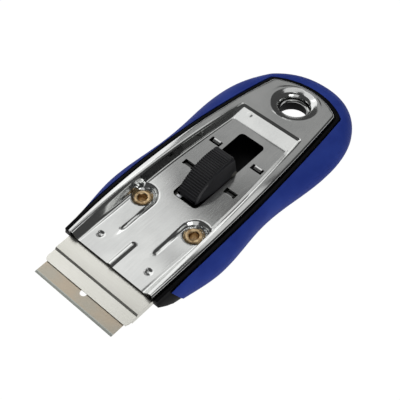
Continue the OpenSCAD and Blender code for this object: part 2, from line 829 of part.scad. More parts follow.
module lower_jaw() {
    half = neck_half_w - tongue_side;
    rise = section_z - seat_gap - carrier_t - jaw_z;
    color([0.62, 0.62, 0.6]) placed() difference() {
        union() {
            translate([-jaw_half, jaw_front, jaw_z])
                cube([2 * jaw_half, jaw_rear - jaw_front, carrier_t]);
            across(half) polygon([
                [jaw_rear - tongue_run, jaw_z], [jaw_rear, jaw_z],
                [jaw_rear + tongue_run, jaw_z + rise], [tongue_rear, jaw_z + rise],
                [tongue_rear, jaw_z + rise + carrier_t], [jaw_rear + tongue_run, jaw_z + rise + carrier_t],
                [jaw_rear, jaw_z + carrier_t], [jaw_rear - tongue_run, jaw_z + carrier_t]]);
        }
        for (x = [-neck_half_w / 2, neck_half_w / 2])
            translate([x, tongue_rear - tongue_len / 2, 0])
                cylinder(r = jaw_rivet_r + pin_gap, h = crest_z, $fn = round_fn);
    }
}

module jaw_rivets() {
    head_r = 1.6 * jaw_rivet_r;
    head_t = jaw_rivet_r / 3;
    low = section_z - 2 * seat_gap - carrier_t;
    color([0.7, 0.7, 0.68]) placed()
        for (x = [-neck_half_w / 2, neck_half_w / 2])
            translate([x, tongue_rear - tongue_len / 2, 0]) {
                translate([0, 0, low - head_t])
                    cylinder(r = jaw_rivet_r, h = carrier_z - low + 2 * head_t, $fn = round_fn);
                translate([0, 0, low - head_t]) cylinder(r = head_r, h = head_t, $fn = round_fn);
                translate([0, 0, carrier_z + seat_gap]) cylinder(r = head_r, h = head_t, $fn = round_fn);
            }
}

// Side view of the blade: flat, with both faces ground to an edge
module blade() {
    hole_at_blade = jaw_front - blade_hole_r / 2;
    mid = blade_z + blade_t / 2;
    color([0.68, 0.66, 0.6]) placed() difference() {
        across(blade_half) polygon([
            [-blade_reach, mid], [bevel_w - blade_reach, blade_z + blade_t],
            [blade_tail, blade_z + blade_t], [blade_tail, blade_z],
            [bevel_w - blade_reach, blade_z]]);
        translate([0, hole_at_blade, 0]) cylinder(r = blade_hole_r, h = crest_z, $fn = round_fn);
        both() translate([blade_half - notch_w, blade_tail - 2 * notch_w, 0])
            cube([notch_w + over, notch_w, crest_z]);
    }
}

// Saddle riveted on the carrier's head, with two side walls that guide the slide
module slide_saddle() {
    w = 2 * saddle_half;
    len = saddle_rear - saddle_front;
    head_z = section_z - seat_gap - peg_head_t;
    color([0.12, 0.12, 0.13]) placed() difference() {
        union() {
            translate([-saddle_half, saddle_front, saddle_z]) difference() {
                cube([w, len, saddle_wall_h]);
                translate([saddle_wall, -over, saddle_t])
                    cube([w - 2 * saddle_wall, len + 2 * over, saddle_wall_h]);
            }
            for (d = [saddle_front + peg_inset, saddle_rear - peg_inset]) translate([0, d, head_z]) {
                cylinder(r = peg_r, h = saddle_z + saddle_t / 2 - head_z, $fn = round_fn);
                cylinder(r = peg_head_r, h = peg_head_t, $fn = round_fn);
            }
        }
        translate([-wide, pin_at, pin_z]) rotate([0, 90, 0])
            cylinder(r = pin_r + pin_gap, h = 2 * wide, $fn = round_fn);
    }
}

module slide_pin() {
    half = slide_inner + pin_bite;
    color([0.7, 0.7, 0.68]) placed() translate([-half, pin_at, pin_z]) rotate([0, 90, 0])
        cylinder(r = pin_r, h = 2 * half, $fn = round_fn);
}

// Leaf spring under the slide: a flat foot with a finger at its front, and a bowed leaf
module lock_spring() {
    foot_front = slot_front + run_gap;
    lift = slide_roof - lock_gap - lock_t - lock_z;
    leaf_len = lock_rear - lock_tip;
    steps = round_steps;
    finger_x = -saddle_half;
    color([0.75, 0.75, 0.74]) placed() {
        translate([-lock_half, saddle_front - slide_wall, lock_z])
            cube([2 * lock_half, lock_rear - saddle_front + slide_wall, lock_t]);
        translate([finger_x, foot_front, lock_z])
            cube([finger_w, saddle_front - run_gap - foot_front, lock_t]);
        across(lock_half) polygon(concat(
            [for (i = [0:steps]) [lock_rear - leaf_len * i / steps,
                                  lock_z + lift * sin(90 * i / steps)]],
            [for (i = [steps:-1:0]) [lock_rear - leaf_len * i / steps,
                                     lock_z + lock_t + lift * sin(90 * i / steps)]]));
    }
}

// Arched cap turned about the arch's own axis, so that its edges follow the arch
module slide_cap() {
    r = slide_arch_r;
    deep = r - slide_edge_h - flank_h;
    translate([0, arch_centre[0], arch_centre[1]]) rotate([0, 90, 0])
        rotate_extrude($fn = arch_fn) polygon([
            [0, -slide_half], [deep, -slide_half],
            [r - slide_edge_h, -slide_top_half_w], [r, slide_edge_w - slide_top_half_w],
            [r, slide_top_half_w - slide_edge_w], [r - slide_edge_h, slide_top_half_w],
            [deep, slide_half], [0, slide_half]]);
}

// Triangle in plan that bevels the slide's upright right-hand corner at one of its ends
module slide_corner(way) {
    end = way > 0 ? slide_base_rear : slide_front;
    polygon([[slide_half + over, end - way * (slide_bevel + over)],
             [slide_half + over, end + way * over], [slide_half - slide_bevel - over, end + way * over]]);
}

module thumb_slide() {
    start = arch_front_turn - 180 * groove_lead / (PI * slide_arch_r);
    pitch = 180 * groove_pitch / (PI * slide_arch_r);
    notch_z = lock_z + lock_t + press + run_gap;
    color([0.11, 0.11, 0.12]) placed() difference() {
        intersection() {
            slide_cap();
            across(wide) polygon([
                [slide_front, slide_low], [slide_base_rear, slide_low],
                [slide_base_rear, overhang_z], [slide_rear - slide_edge_h, overhang_z],
                [slide_rear, overhang_z + slide_edge_h], [slide_rear, slide_z + over],
                [slide_front, slide_z + over]]);
        }
        translate([-slide_inner, slide_front + slide_nose, -over])
            cube([2 * slide_inner, slide_base_rear - slide_wall - slide_front - slide_nose, slide_roof + over]);
        translate([-slide_inner, slide_front - over, -over])
            cube([2 * slide_inner, slide_nose + 2 * over, notch_z + over]);
        both() translate([0, 0, slide_low - over]) {
            linear_extrude(overhang_z - slide_low + over) slide_corner(1);
            linear_extrude(slide_z) slide_corner(-1);
        }
        both() translate([0, pin_at, pin_z]) rotate([0, 90, 0]) {
            cylinder(r = pin_r + 2 * pin_gap, h = slide_inner + pin_bite + pin_gap, $fn = round_fn);
            translate([-press, 0, 0])
                cylinder(r = pin_r + 2 * pin_gap, h = slide_inner + pin_bite + pin_gap, $fn = round_fn);
        }
        both() translate([0, pin_at - pin_r - 2 * pin_gap, pin_z])
            cube([slide_inner + pin_bite + pin_gap, 2 * (pin_r + 2 * pin_gap), press]);
        for (i = [0:groove_count - 1]) translate([0, arch_centre[0], arch_centre[1]])
            rotate([start - (i + 1) * pitch, 0, 0])
                translate([-slide_half, -groove_pitch / 4, slide_arch_r - groove_depth])
                    cube([2 * slide_half, groove_pitch / 2, groove_depth + over]);
    }
}

top_cover();
body_tray();
soft_grip();
rivet_left();
rivet_right();
washer_left();
washer_right();
drag_spring_left();
drag_spring_right();
blade_carrier();
lower_jaw();
jaw_rivets();
slide_saddle();
slide_pin();
lock_spring();
thumb_slide();
blade();
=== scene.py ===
"""Looks of a retractable blade scraper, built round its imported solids.

Places on the tool are given in millimetres as (x, d, z): x across, d backwards from the cover's
front edge, and z up from the flat back. They become metres in the shared frame in one place.
"""
import logging
import math
from contextlib import contextmanager
from dataclasses import dataclass, field
from enum import Enum
from typing import Any, Iterator, Sequence, Union

import bmesh
import bpy
from mathutils import Matrix, Vector

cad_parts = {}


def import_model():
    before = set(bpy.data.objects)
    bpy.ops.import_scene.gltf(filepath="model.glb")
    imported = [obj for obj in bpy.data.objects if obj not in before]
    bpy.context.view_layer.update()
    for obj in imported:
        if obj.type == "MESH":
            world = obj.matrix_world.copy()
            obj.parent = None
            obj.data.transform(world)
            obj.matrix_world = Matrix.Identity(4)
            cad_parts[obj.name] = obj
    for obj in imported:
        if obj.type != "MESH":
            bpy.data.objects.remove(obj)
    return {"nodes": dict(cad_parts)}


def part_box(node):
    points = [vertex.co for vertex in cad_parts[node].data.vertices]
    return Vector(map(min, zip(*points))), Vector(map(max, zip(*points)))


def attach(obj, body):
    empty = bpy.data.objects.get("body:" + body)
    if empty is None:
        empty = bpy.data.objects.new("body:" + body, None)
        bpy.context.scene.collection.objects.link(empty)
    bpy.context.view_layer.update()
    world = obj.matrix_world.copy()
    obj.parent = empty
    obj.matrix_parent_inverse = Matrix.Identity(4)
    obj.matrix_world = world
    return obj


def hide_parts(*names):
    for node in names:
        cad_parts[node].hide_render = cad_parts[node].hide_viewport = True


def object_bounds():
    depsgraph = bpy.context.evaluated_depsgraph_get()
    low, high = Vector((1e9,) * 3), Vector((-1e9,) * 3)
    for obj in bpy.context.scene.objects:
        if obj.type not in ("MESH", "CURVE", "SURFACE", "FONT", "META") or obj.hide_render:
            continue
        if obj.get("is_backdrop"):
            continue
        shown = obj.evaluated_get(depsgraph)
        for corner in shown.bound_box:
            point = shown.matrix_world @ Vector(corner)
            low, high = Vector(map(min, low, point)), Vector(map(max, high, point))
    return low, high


MM = 0.001
LOG = logging.getLogger("scraper")

Point = tuple[float, float, float]
Flat = tuple[float, float]
Colour = tuple[float, float, float]
Face = tuple[int, ...]
Value = Union["Wire", float, Sequence[float], bool]


class Body(Enum):
    """Moving bodies of the tool."""

    HANDLE = "handle"
    CARRIAGE = "carriage"
    SLIDE = "slide_button"
    BLADE = "blade"


class Slot(Enum):
    """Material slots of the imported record."""

    COVER = "cover_steel"
    CARRIER = "carrier_steel"
    SPRING = "spring_steel"
    BLADE = "blade_steel"
    BRASS = "rivet_brass"
    TRAY = "tray_plastic"
    SLIDE = "slide_plastic"
    GRIP = "grip_rubber"


# ---------------------------------------------------------------- numbers

def clamp(value: float, low: float = 0.0, high: float = 1.0) -> float:
    """Keeps a number between two limits."""
    return max(low, min(high, value))


def mix(a: float, b: float, share: float) -> float:
    """Goes from a to b by a share."""
    return a + (b - a) * share


def ease(value: float, start: float, end: float) -> float:
    """Share from 0 at start to 1 at end, flat at both ends."""
    t = clamp((value - start) / (end - start))
    return t * t * t * (t * (6 * t - 15) + 10)


def rounded_ramp(share: float, bend: float) -> float:
    """Straight rise from 0 to 1 with a rounded start and end.

    Args:
        share: Place along the rise, from 0 to 1.
        bend: Share of the rise that each rounding takes.

    Returns:
        Height as a share of the rise.
    """
    t = clamp(share)
    if t < bend:
        return t * t / (2 * bend * (1 - bend))
    if t > 1 - bend:
        return 1 - (1 - t) ** 2 / (2 * bend * (1 - bend))
    return (t - bend / 2) / (1 - bend)


def soft_max(a: float, b: float, width: float) -> float:
    """Larger of two heights, rounded where they are less than a width apart."""
    share = clamp(0.5 + 0.5 * (a - b) / width)
    return mix(b, a, share) + width * share * (1 - share)


def soft_min(a: float, b: float, width: float) -> float:
    """Smaller of two heights, rounded where they cross."""
    return -soft_max(-a, -b, width)


def spaced(start: float, end: float, count: int) -> list[float]:
    """Evenly spaced numbers from start to end, both included."""
    return [mix(start, end, i / count) for i in range(count + 1)]


def linear(*levels: int) -> Colour:
    """Turns a colour written in 0 to 255 into the linear values that shaders take."""
    shares = [level / 255 for level in levels]
    return tuple(s / 12.92 if s <= 0.04045 else ((s + 0.055) / 1.055) ** 2.4 for s in shares)


def polar(centre: Flat, radius: float, degrees: float) -> Flat:
    """Point of a circle."""
    a = math.radians(degrees)
    return centre[0] + radius * math.cos(a), centre[1] + radius * math.sin(a)


def bearing(a: Flat, b: Flat) -> float:
    """Direction from one point to another, in degrees."""
    return math.degrees(math.atan2(b[1] - a[1], b[0] - a[0]))


def meet(a: Flat, ra: float, b: Flat, rb: float) -> Flat:
    """Finds where two circles meet.

    Args:
        a: Centre of the first circle.
        ra: Radius of the first circle.
        b: Centre of the second circle.
        rb: Radius of the second circle.

    Returns:
        Rear one of the two points.
    """
    v = Vector(b) - Vector(a)
    gap = v.length
    u = v / gap
    t = (ra * ra - rb * rb + gap * gap) / (2 * gap)
    h = math.sqrt(ra * ra - t * t)
    return a[0] + t * u[0] - h * u[1], a[1] + t * u[1] + h * u[0]


# ---------------------------------------------------------------- node trees

class Wire:
    """Output of a node that can be used in Python expressions."""

    def __init__(self, graph: "Graph", socket: bpy.types.NodeSocket | None) -> None:
        """Wraps one output socket of a graph."""
        self.graph = graph
        self.socket = socket

    def math(self, operation: str, *values: Value) -> "Wire":
        """Result of one Math node on these values, or on this wire alone if there are none."""
        inputs = dict(enumerate(values or (self,)))
        return self.graph.add("ShaderNodeMath", {"operation": operation}, inputs)

    def __add__(self, other: Value) -> "Wire":
        """Sum."""
        return self.math("ADD", self, other)

    __radd__ = __add__

    def __sub__(self, other: Value) -> "Wire":
        """Difference."""
        return self.math("SUBTRACT", self, other)

    def __rsub__(self, other: Value) -> "Wire":
        """Difference with this value last."""
        return self.math("SUBTRACT", other, self)

    def __mul__(self, other: Value) -> "Wire":
        """Product."""
        return self.math("MULTIPLY", self, other)

    __rmul__ = __mul__

    def __pow__(self, other: Value) -> "Wire":
        """Power."""
        return self.math("POWER", self, other)

    def band(self, low: float, high: float) -> "Wire":
        """Rises from 0 to 1 between two levels, and stays there."""
        return self.graph.add("ShaderNodeMapRange", {"interpolation_type": "SMOOTHSTEP"},
                              {"Value": self, "From Min": low, "From Max": high})


class Graph:
    """Node tree whose nodes are added with their settings and inputs in one call."""

    def __init__(self, tree: bpy.types.NodeTree) -> None:
        """Empties a node tree and works on it."""
        self.tree = tree
        tree.nodes.clear()

    def add(self, kind: str, settings: dict[str, Any] | None = None,
            inputs: dict[Any, Any] | None = None, output: int | str = 0) -> Wire:
        """Adds any node.

        Args:
            kind: Type of the node.
            settings: Properties of the node, set first.
            inputs: Values or wires for its sockets, by name or number.
            output: Name or number of the output that is wanted.

        Returns:
            Wire of that output.
        """
        node = self.tree.nodes.new(kind)
        for key, value in (settings or {}).items():
            setattr(node, key, value)
        for key, value in (inputs or {}).items():
            if isinstance(value, Wire):
                self.tree.links.new(value.socket, node.inputs[key])
            else:
                node.inputs[key].default_value = value
        return Wire(self, node.outputs[output] if node.outputs else None)


class Paint(Graph):
    """Node tree of one material."""

    def __init__(self, name: str) -> None:
        """Starts an empty material.

        Args:
            name: Name of the material.
        """
        self.material = bpy.data.materials.new(name)
        self.material.use_nodes = True
        super().__init__(self.material.node_tree)

    def place(self) -> Wire:
        """Object coordinates, in metres."""
        return self.add("ShaderNodeTexCoord", output="Object")

    def axis(self, number: int) -> Wire:
        """One object coordinate, in millimetres."""
        return self.add("ShaderNodeSeparateXYZ", inputs={0: self.place()}, output=number) * (1 / MM)

    def noise(self, stretch: Sequence[float], detail: float = 2.0, rough: float = 0.5) -> Wire:
        """Stretched noise.

        Args:
            stretch: Size of its features along x, y and z, in millimetres.
            detail: Number of finer layers.
            rough: Strength of the finer layers.

        Returns:
            Wire of the noise, from 0 to 1.
        """
        scale = tuple(1 / (MM * s) for s in stretch)
        mapped = self.add("ShaderNodeMapping", inputs={"Vector": self.place(), "Scale": scale})
        return self.add("ShaderNodeTexNoise", inputs={
            "Vector": mapped, "Scale": 1.0, "Detail": detail, "Roughness": rough})

    def grains(self, size: float) -> Wire:
        """Distance to the nearest of scattered points, for moulded grain."""
        return self.add("ShaderNodeTexVoronoi", inputs={
            "Vector": self.place(), "Scale": 1 / (MM * size)}, output="Distance")

    @staticmethod
    def filled(colour: Value) -> Value:
        """A colour with its alpha, or a wire as it is."""
        return colour if isinstance(colour, Wire) else (*colour, 1.0)

    def blend(self, share: Value, first: Value, second: Value) -> Wire:
        """Mixes two colours; the node's colour sockets are its inputs 6 and 7 and its output 2."""
        return self.add("ShaderNodeMix", {"data_type": "RGBA"}, {
            0: share, 6: self.filled(first), 7: self.filled(second)}, 2)

    def bump(self, height: Wire, depth: float, strength: float) -> Wire:
        """Turns a height into a normal; depth is in millimetres."""
        return self.add("ShaderNodeBump", inputs={
            "Height": height, "Strength": strength, "Distance": depth * MM})

    def surface(self, colour: Value, roughness: Value, metallic: float, normal: Wire,
                **extra: float) -> bpy.types.Material:
        """Ends the tree in one surface shader.

        Args:
            colour: Base colour or its wire.
            roughness: Roughness or its wire.
            metallic: 1 for bare metal and 0 otherwise.
            normal: Wire of the bumped normal.
            extra: Constants of other sockets, by name.

        Returns:
            The finished material.
        """
        shader = self.add("ShaderNodeBsdfPrincipled", inputs={
            "Base Color": self.filled(colour), "Roughness": roughness, "Metallic": metallic,
            **extra, "Normal": normal})
        self.add("ShaderNodeOutputMaterial", inputs={"Surface": shader})
        return self.material


class Shaper(Graph):
    """Geometry Nodes tree with named inputs, whose result becomes a plain mesh."""

    def __init__(self, name: str) -> None:
        """Starts a tree with a geometry output.

        Args:
            name: Name of the tree.
        """
        super().__init__(bpy.data.node_groups.new(name, "GeometryNodeTree"))
        self.tree.interface.new_socket("Geometry", in_out="OUTPUT",
                                       socket_type="NodeSocketGeometry")
        self.inlet = self.tree.nodes.new("NodeGroupInput")
        self.outlet = self.tree.nodes.new("NodeGroupOutput")
        self.values: dict[str, Any] = {}

    def size(self, name: str, value: Any, kind: str = "NodeSocketFloat") -> Wire:
        """Adds a named input with its value.

        Args:
            name: Name of the input.
            value: Its value.
            kind: Type of its socket.

        Returns:
            Wire of the input inside the tree.
        """
        item = self.tree.interface.new_socket(name, in_out="INPUT", socket_type=kind)
        self.values[item.identifier] = value
        return Wire(self, self.inlet.outputs[name])

    def triple(self, *parts: Value) -> Wire:
        """Joins up to three numbers into a vector."""
        return self.add("ShaderNodeCombineXYZ", inputs=dict(enumerate(parts)))

    def finish(self, geometry: Wire, material: Wire) -> None:
        """Ends the tree in realized geometry with its material.

        Args:
            geometry: Wire of the geometry.
            material: Wire of its material.
        """
        real = self.add("GeometryNodeRealizeInstances", inputs={0: geometry})
        dressed = self.add("GeometryNodeSetMaterial", inputs={
            "Geometry": real, "Material": material})
        self.tree.links.new(dressed.socket, self.outlet.inputs[0])

    def bake(self, name: str) -> bpy.types.Object:
        """Runs the tree on an empty mesh, and keeps the result as a plain mesh.

        Args:
            name: Name of the object.

        Returns:
            New object at the origin.
        """
        holder = stand(name, bpy.data.meshes.new(name))
        step = holder.modifiers.new("tree", "NODES")
        step.node_group = self.tree
        for identifier, value in self.values.items():
            step[identifier] = value
        return settle(holder)


# ---------------------------------------------------------------- finishes

@dataclass(frozen=True)
class Steel:
    """Bare sheet steel with a rolling grain, faint clouds and a few fine scratches."""

    name: str
    slot: Slot
    dark: Colour
    light: Colour
    roughness: float = 0.3
    grain_mm: Point = (0.12, 9.0, 0.12)
    grain_depth: float = 0.004
    cloud_mm: float = 16.0
    scratch_mm: Point = (0.25, 14.0, 0.25)
    scratch_band: Flat = (0.70, 0.76)
    # Painted shade: a dark colour painted over the steel from a place backwards, with a wavering
    # edge.
    painted_shade_from: float | None = None
    painted_shade: Colour = linear(34, 33, 30)
    painted_shade_run: float = 6.0
    painted_shade_cover: float = 0.92

    def material(self) -> bpy.types.Material:
        """Builds the steel, with painted shade (a dark colour painted over it) behind a place if it
        has one.

        Returns:
            The finished material.
        """
        g = Paint(self.name)
        grain = g.noise(self.grain_mm, 3.0, 0.6)
        clouds = g.noise((self.cloud_mm,) * 3)
        scratches = g.noise(self.scratch_mm, 1.0).band(*self.scratch_band)
        tone = grain * 0.45 + clouds * 0.55
        colour = g.blend(tone.band(0.25, 0.75), self.dark, self.light)
        rough = self.roughness - 0.05 + 0.08 * clouds + 0.05 * grain - 0.03 * scratches
        normal = g.bump(grain - 0.4 * scratches, self.grain_depth, 0.6)
        # Painted shade: the colour turns dark from this place backwards, blended in over a short
        # run.
        if self.painted_shade_from is not None:
            place = g.axis(1) - self.painted_shade_from
            painted_shade_film = (place + self.painted_shade_run * clouds).band(0.0, self.painted_shade_run)
            colour = g.blend(painted_shade_film * self.painted_shade_cover, colour, self.painted_shade)
        return g.surface(colour, rough, 1.0, normal)


@dataclass(frozen=True)
class GroundSteel:
    """Blade steel, tinted by tempering, with a ground bevel along its edge."""

    name: str = "tempered_blade"
    slot: Slot = Slot.BLADE
    face: Colour = linear(176, 169, 152)
    warm: Colour = linear(186, 170, 146)
    ground: Colour = linear(168, 172, 164)
    streak: Colour = (0.9, 0.9, 0.88)
    edge_mm: float = -73.6
    bevel_mm: float = 1.15
    bevel_blend: float = 0.1
    tint_mm: Point = (9.0, 5.0, 9.0)
    wheel_mm: Point = (0.09, 1.6, 0.09)

    def material(self) -> bpy.types.Material:
        """Builds the blade's steel.

        Returns:
            The finished material.
        """
        g = Paint(self.name)
        back = g.axis(1) - self.edge_mm
        tint = g.noise(self.tint_mm).band(0.3, 0.7)
        face = g.blend(tint, self.face, self.warm)
        bevel = 1 - back.band(self.bevel_mm - self.bevel_blend, self.bevel_mm + self.bevel_blend)
        wheel = g.noise(self.wheel_mm, 2.0, 0.6)
        colour = g.blend(bevel, face, self.ground)
        shade = g.blend((wheel * 0.3).band(0.0, 0.3) * 0.25, colour, self.streak)
        return g.surface(shade, 0.3 + 0.1 * wheel - 0.05 * bevel, 0.85, g.bump(wheel, 0.004, 0.5))


@dataclass(frozen=True)
class Brass:
    """Rolled brass, browned where fingers and the punch don't rub it."""

    name: str = "rolled_brass"
    slot: Slot = Slot.BRASS
    bright: Colour = linear(222, 196, 154)
    browned: Colour = linear(146, 118, 84)
    stain_mm: Point = (1.6, 1.6, 1.6)
    turning_mm: Point = (0.5, 0.5, 0.08)

    def material(self) -> bpy.types.Material:
        """Builds the brass.

        Returns:
            The finished material.
        """
        g = Paint(self.name)
        stain = g.noise(self.stain_mm, 3.0)
        turning = g.noise(self.turning_mm)
        colour = g.blend(stain.band(0.3, 0.7), self.browned, self.bright)
        return g.surface(colour, 0.24 + 0.16 * stain, 1.0, g.bump(turning, 0.01, 0.5))


@dataclass(frozen=True)
class Moulded:
    """Moulded plastic or rubber with a fine leather-like grain and rubbed patches."""

    name: str
    slot: Slot
    base: Colour
    rubbed: Colour
    roughness: float
    grain_mm: float
    grain_depth: float
    gloss: float
    patch_mm: Point = (11.0, 14.0, 11.0)

    def material(self) -> bpy.types.Material:
        """Builds the moulded skin.

        Returns:
            The finished material.
        """
        g = Paint(self.name)
        grain = g.grains(self.grain_mm)
        fine = g.noise((self.grain_mm,) * 3, 3.0)
        patches = g.noise(self.patch_mm)
        colour = g.blend(patches.band(0.35, 0.75) * 0.6 + 0.25 * fine, self.base, self.rubbed)
        rough = self.roughness + 0.1 * fine - 0.08 * patches
        normal = g.bump(grain * 0.6 + fine * 0.4, self.grain_depth, 0.6)
        return g.surface(colour, rough, 0.0, normal, **{"Specular IOR Level": self.gloss})


COVER_FINISH = Steel("pressed_steel", Slot.COVER, linear(188, 189, 188), linear(214, 215, 213),
                     roughness=0.11, grain_depth=0.0005)
# The carrier gets painted shade, a dark colour painted over it from y = -30 mm of the frame
# backwards.
CARRIER_FINISH = Steel("satin_carrier", Slot.CARRIER, linear(216, 215, 206), linear(232, 231, 224),
                       grain_mm=(7.0, 0.14, 0.14), painted_shade_from=-30.0)
SPRING_FINISH = Steel("spring_strip", Slot.SPRING, linear(160, 162, 166), linear(222, 223, 224),
                      roughness=0.26)
TRAY_FINISH = Moulded("black_tray", Slot.TRAY, linear(7, 7, 9), linear(16, 16, 19),
                      roughness=0.5, grain_mm=0.3, grain_depth=0.012, gloss=0.1)
SLIDE_FINISH = Moulded("black_slide", Slot.SLIDE, linear(38, 38, 41), linear(60, 60, 64),
                       roughness=0.42, grain_mm=0.25, grain_depth=0.012, gloss=0.5)
GRIP_FINISH = Moulded("blue_rubber", Slot.GRIP, linear(48, 70, 168), linear(62, 88, 190),
                      roughness=0.5, grain_mm=0.3, grain_depth=0.018, gloss=0.1)
BRASS_FINISH = Brass()
BLADE_FINISH = GroundSteel()

Finish = Union[Steel, GroundSteel, Brass, Moulded]


class Paintbox:
    """Keeps one material for each finish."""

    def __init__(self) -> None:
        """Starts with no material made."""
        self._made: dict[str, bpy.types.Material] = {}

    def material(self, finish: Finish) -> bpy.types.Material:
        """Gives the material of a finish, made when it is first asked for.

        Args:
            finish: Finish of a piece.

        Returns:
            Its one material.
        """
        if finish.name not in self._made:
            self._made[finish.name] = finish.material()
        return self._made[finish.name]


# ---------------------------------------------------------------- meshes

def stand(name: str, data: bpy.types.ID) -> bpy.types.Object:
    """Puts a mesh, lamp or camera into the scene.

    Args:
        name: Name of the object.
        data: Mesh, lamp or camera.

    Returns:
        New object at the origin.
    """
    thing = bpy.data.objects.new(name, data)
    bpy.context.scene.collection.objects.link(thing)
    return thing


@contextmanager
def editing(thing: bpy.types.Object) -> Iterator[bmesh.types.BMesh]:
    """Opens an object's mesh for editing, and writes it back at the end.

    Args:
        thing: Object whose mesh is edited.

    Yields:
        The mesh in its editable form.
    """
    form = bmesh.new()
    form.from_mesh(thing.data)
    yield form
    form.to_mesh(thing.data)
    form.free()


def settle(thing: bpy.types.Object) -> bpy.types.Object:
    """Applies the modifiers of an object, in order.

    Args:
        thing: Object with modifiers.

    Returns:
        The same object.
    """
    depsgraph = bpy.context.evaluated_depsgraph_get()
    depsgraph.update()
    data = bpy.data.meshes.new_from_object(thing.evaluated_get(depsgraph))
    old = thing.data
    thing.modifiers.clear()
    thing.data = data
    bpy.data.meshes.remove(old)
    return thing


def modify(thing: bpy.types.Object, kind: str, **settings: Any) -> None:
    """Adds a modifier with its settings.

    Args:
        thing: Object that gets it.
        kind: Type of the modifier.
        settings: Its properties.
    """
    step = thing.modifiers.new(kind.lower(), kind)
    for key, value in settings.items():
        setattr(step, key, value)


def cut(thing: bpy.types.Object, cutters: Sequence[bpy.types.Object]) -> None:
    """Cuts other closed meshes out of an object, and removes them.

    Args:
        thing: Object that is cut.
        cutters: Closed meshes.
    """
    for cutter in cutters:
        modify(thing, "BOOLEAN", operation="DIFFERENCE", solver="EXACT", object=cutter)
    settle(thing)
    for cutter in cutters:
        bpy.data.objects.remove(cutter)


def thicken(thing: bpy.types.Object, thickness: float) -> None:
    """Gives a surface a thickness in millimetres, inwards."""
    modify(thing, "SOLIDIFY", thickness=thickness * MM, offset=-1.0)
    settle(thing)


def round_edges(thing: bpy.types.Object, width: float, degrees: float, segments: int = 2) -> None:
    """Rounds edges.

    Args:
        thing: Object whose edges are rounded.
        width: Width of the rounding in millimetres.
        degrees: Angle above which an edge is rounded.
        segments: Number of strips across the rounding.
    """
    modify(thing, "BEVEL", width=width * MM, segments=segments, limit_method="ANGLE",
           angle_limit=math.radians(degrees))
    settle(thing)


def smooth(thing: bpy.types.Object, degrees: float) -> None:
    """Shades smoothly, apart from edges sharper than an angle."""
    thing.data.shade_smooth()
    thing.data.set_sharp_from_angle(angle=math.radians(degrees))


def face_outwards(thing: bpy.types.Object) -> None:
    """Turns every face outwards."""
    with editing(thing) as form:
        bmesh.ops.recalc_face_normals(form, faces=form.faces)


def join(target: bpy.types.Object, others: Sequence[bpy.types.Object]) -> None:
    """Adds the meshes of other objects to one, and removes the others.

    Args:
        target: Object that gets the meshes.
        others: Objects that are removed.
    """
    with editing(target) as form:
        for other in others:
            form.from_mesh(other.data)
            bpy.data.objects.remove(other)


def lofted(sections: Sequence[Sequence[Point]], closed: bool) -> tuple[list[Point], list[Face]]:
    """Joins sections of equal length by faces.

    Args:
        sections: Sections in order.
        closed: Whether the last point of a section joins its first.

    Returns:
        All points, and the faces between the sections.
    """
    n = len(sections[0])
    faces = [(k * n + j, k * n + (j + 1) % n, (k + 1) * n + (j + 1) % n, (k + 1) * n + j)
             for k in range(len(sections) - 1) for j in range(n if closed else n - 1)]
    return [p for s in sections for p in s], faces


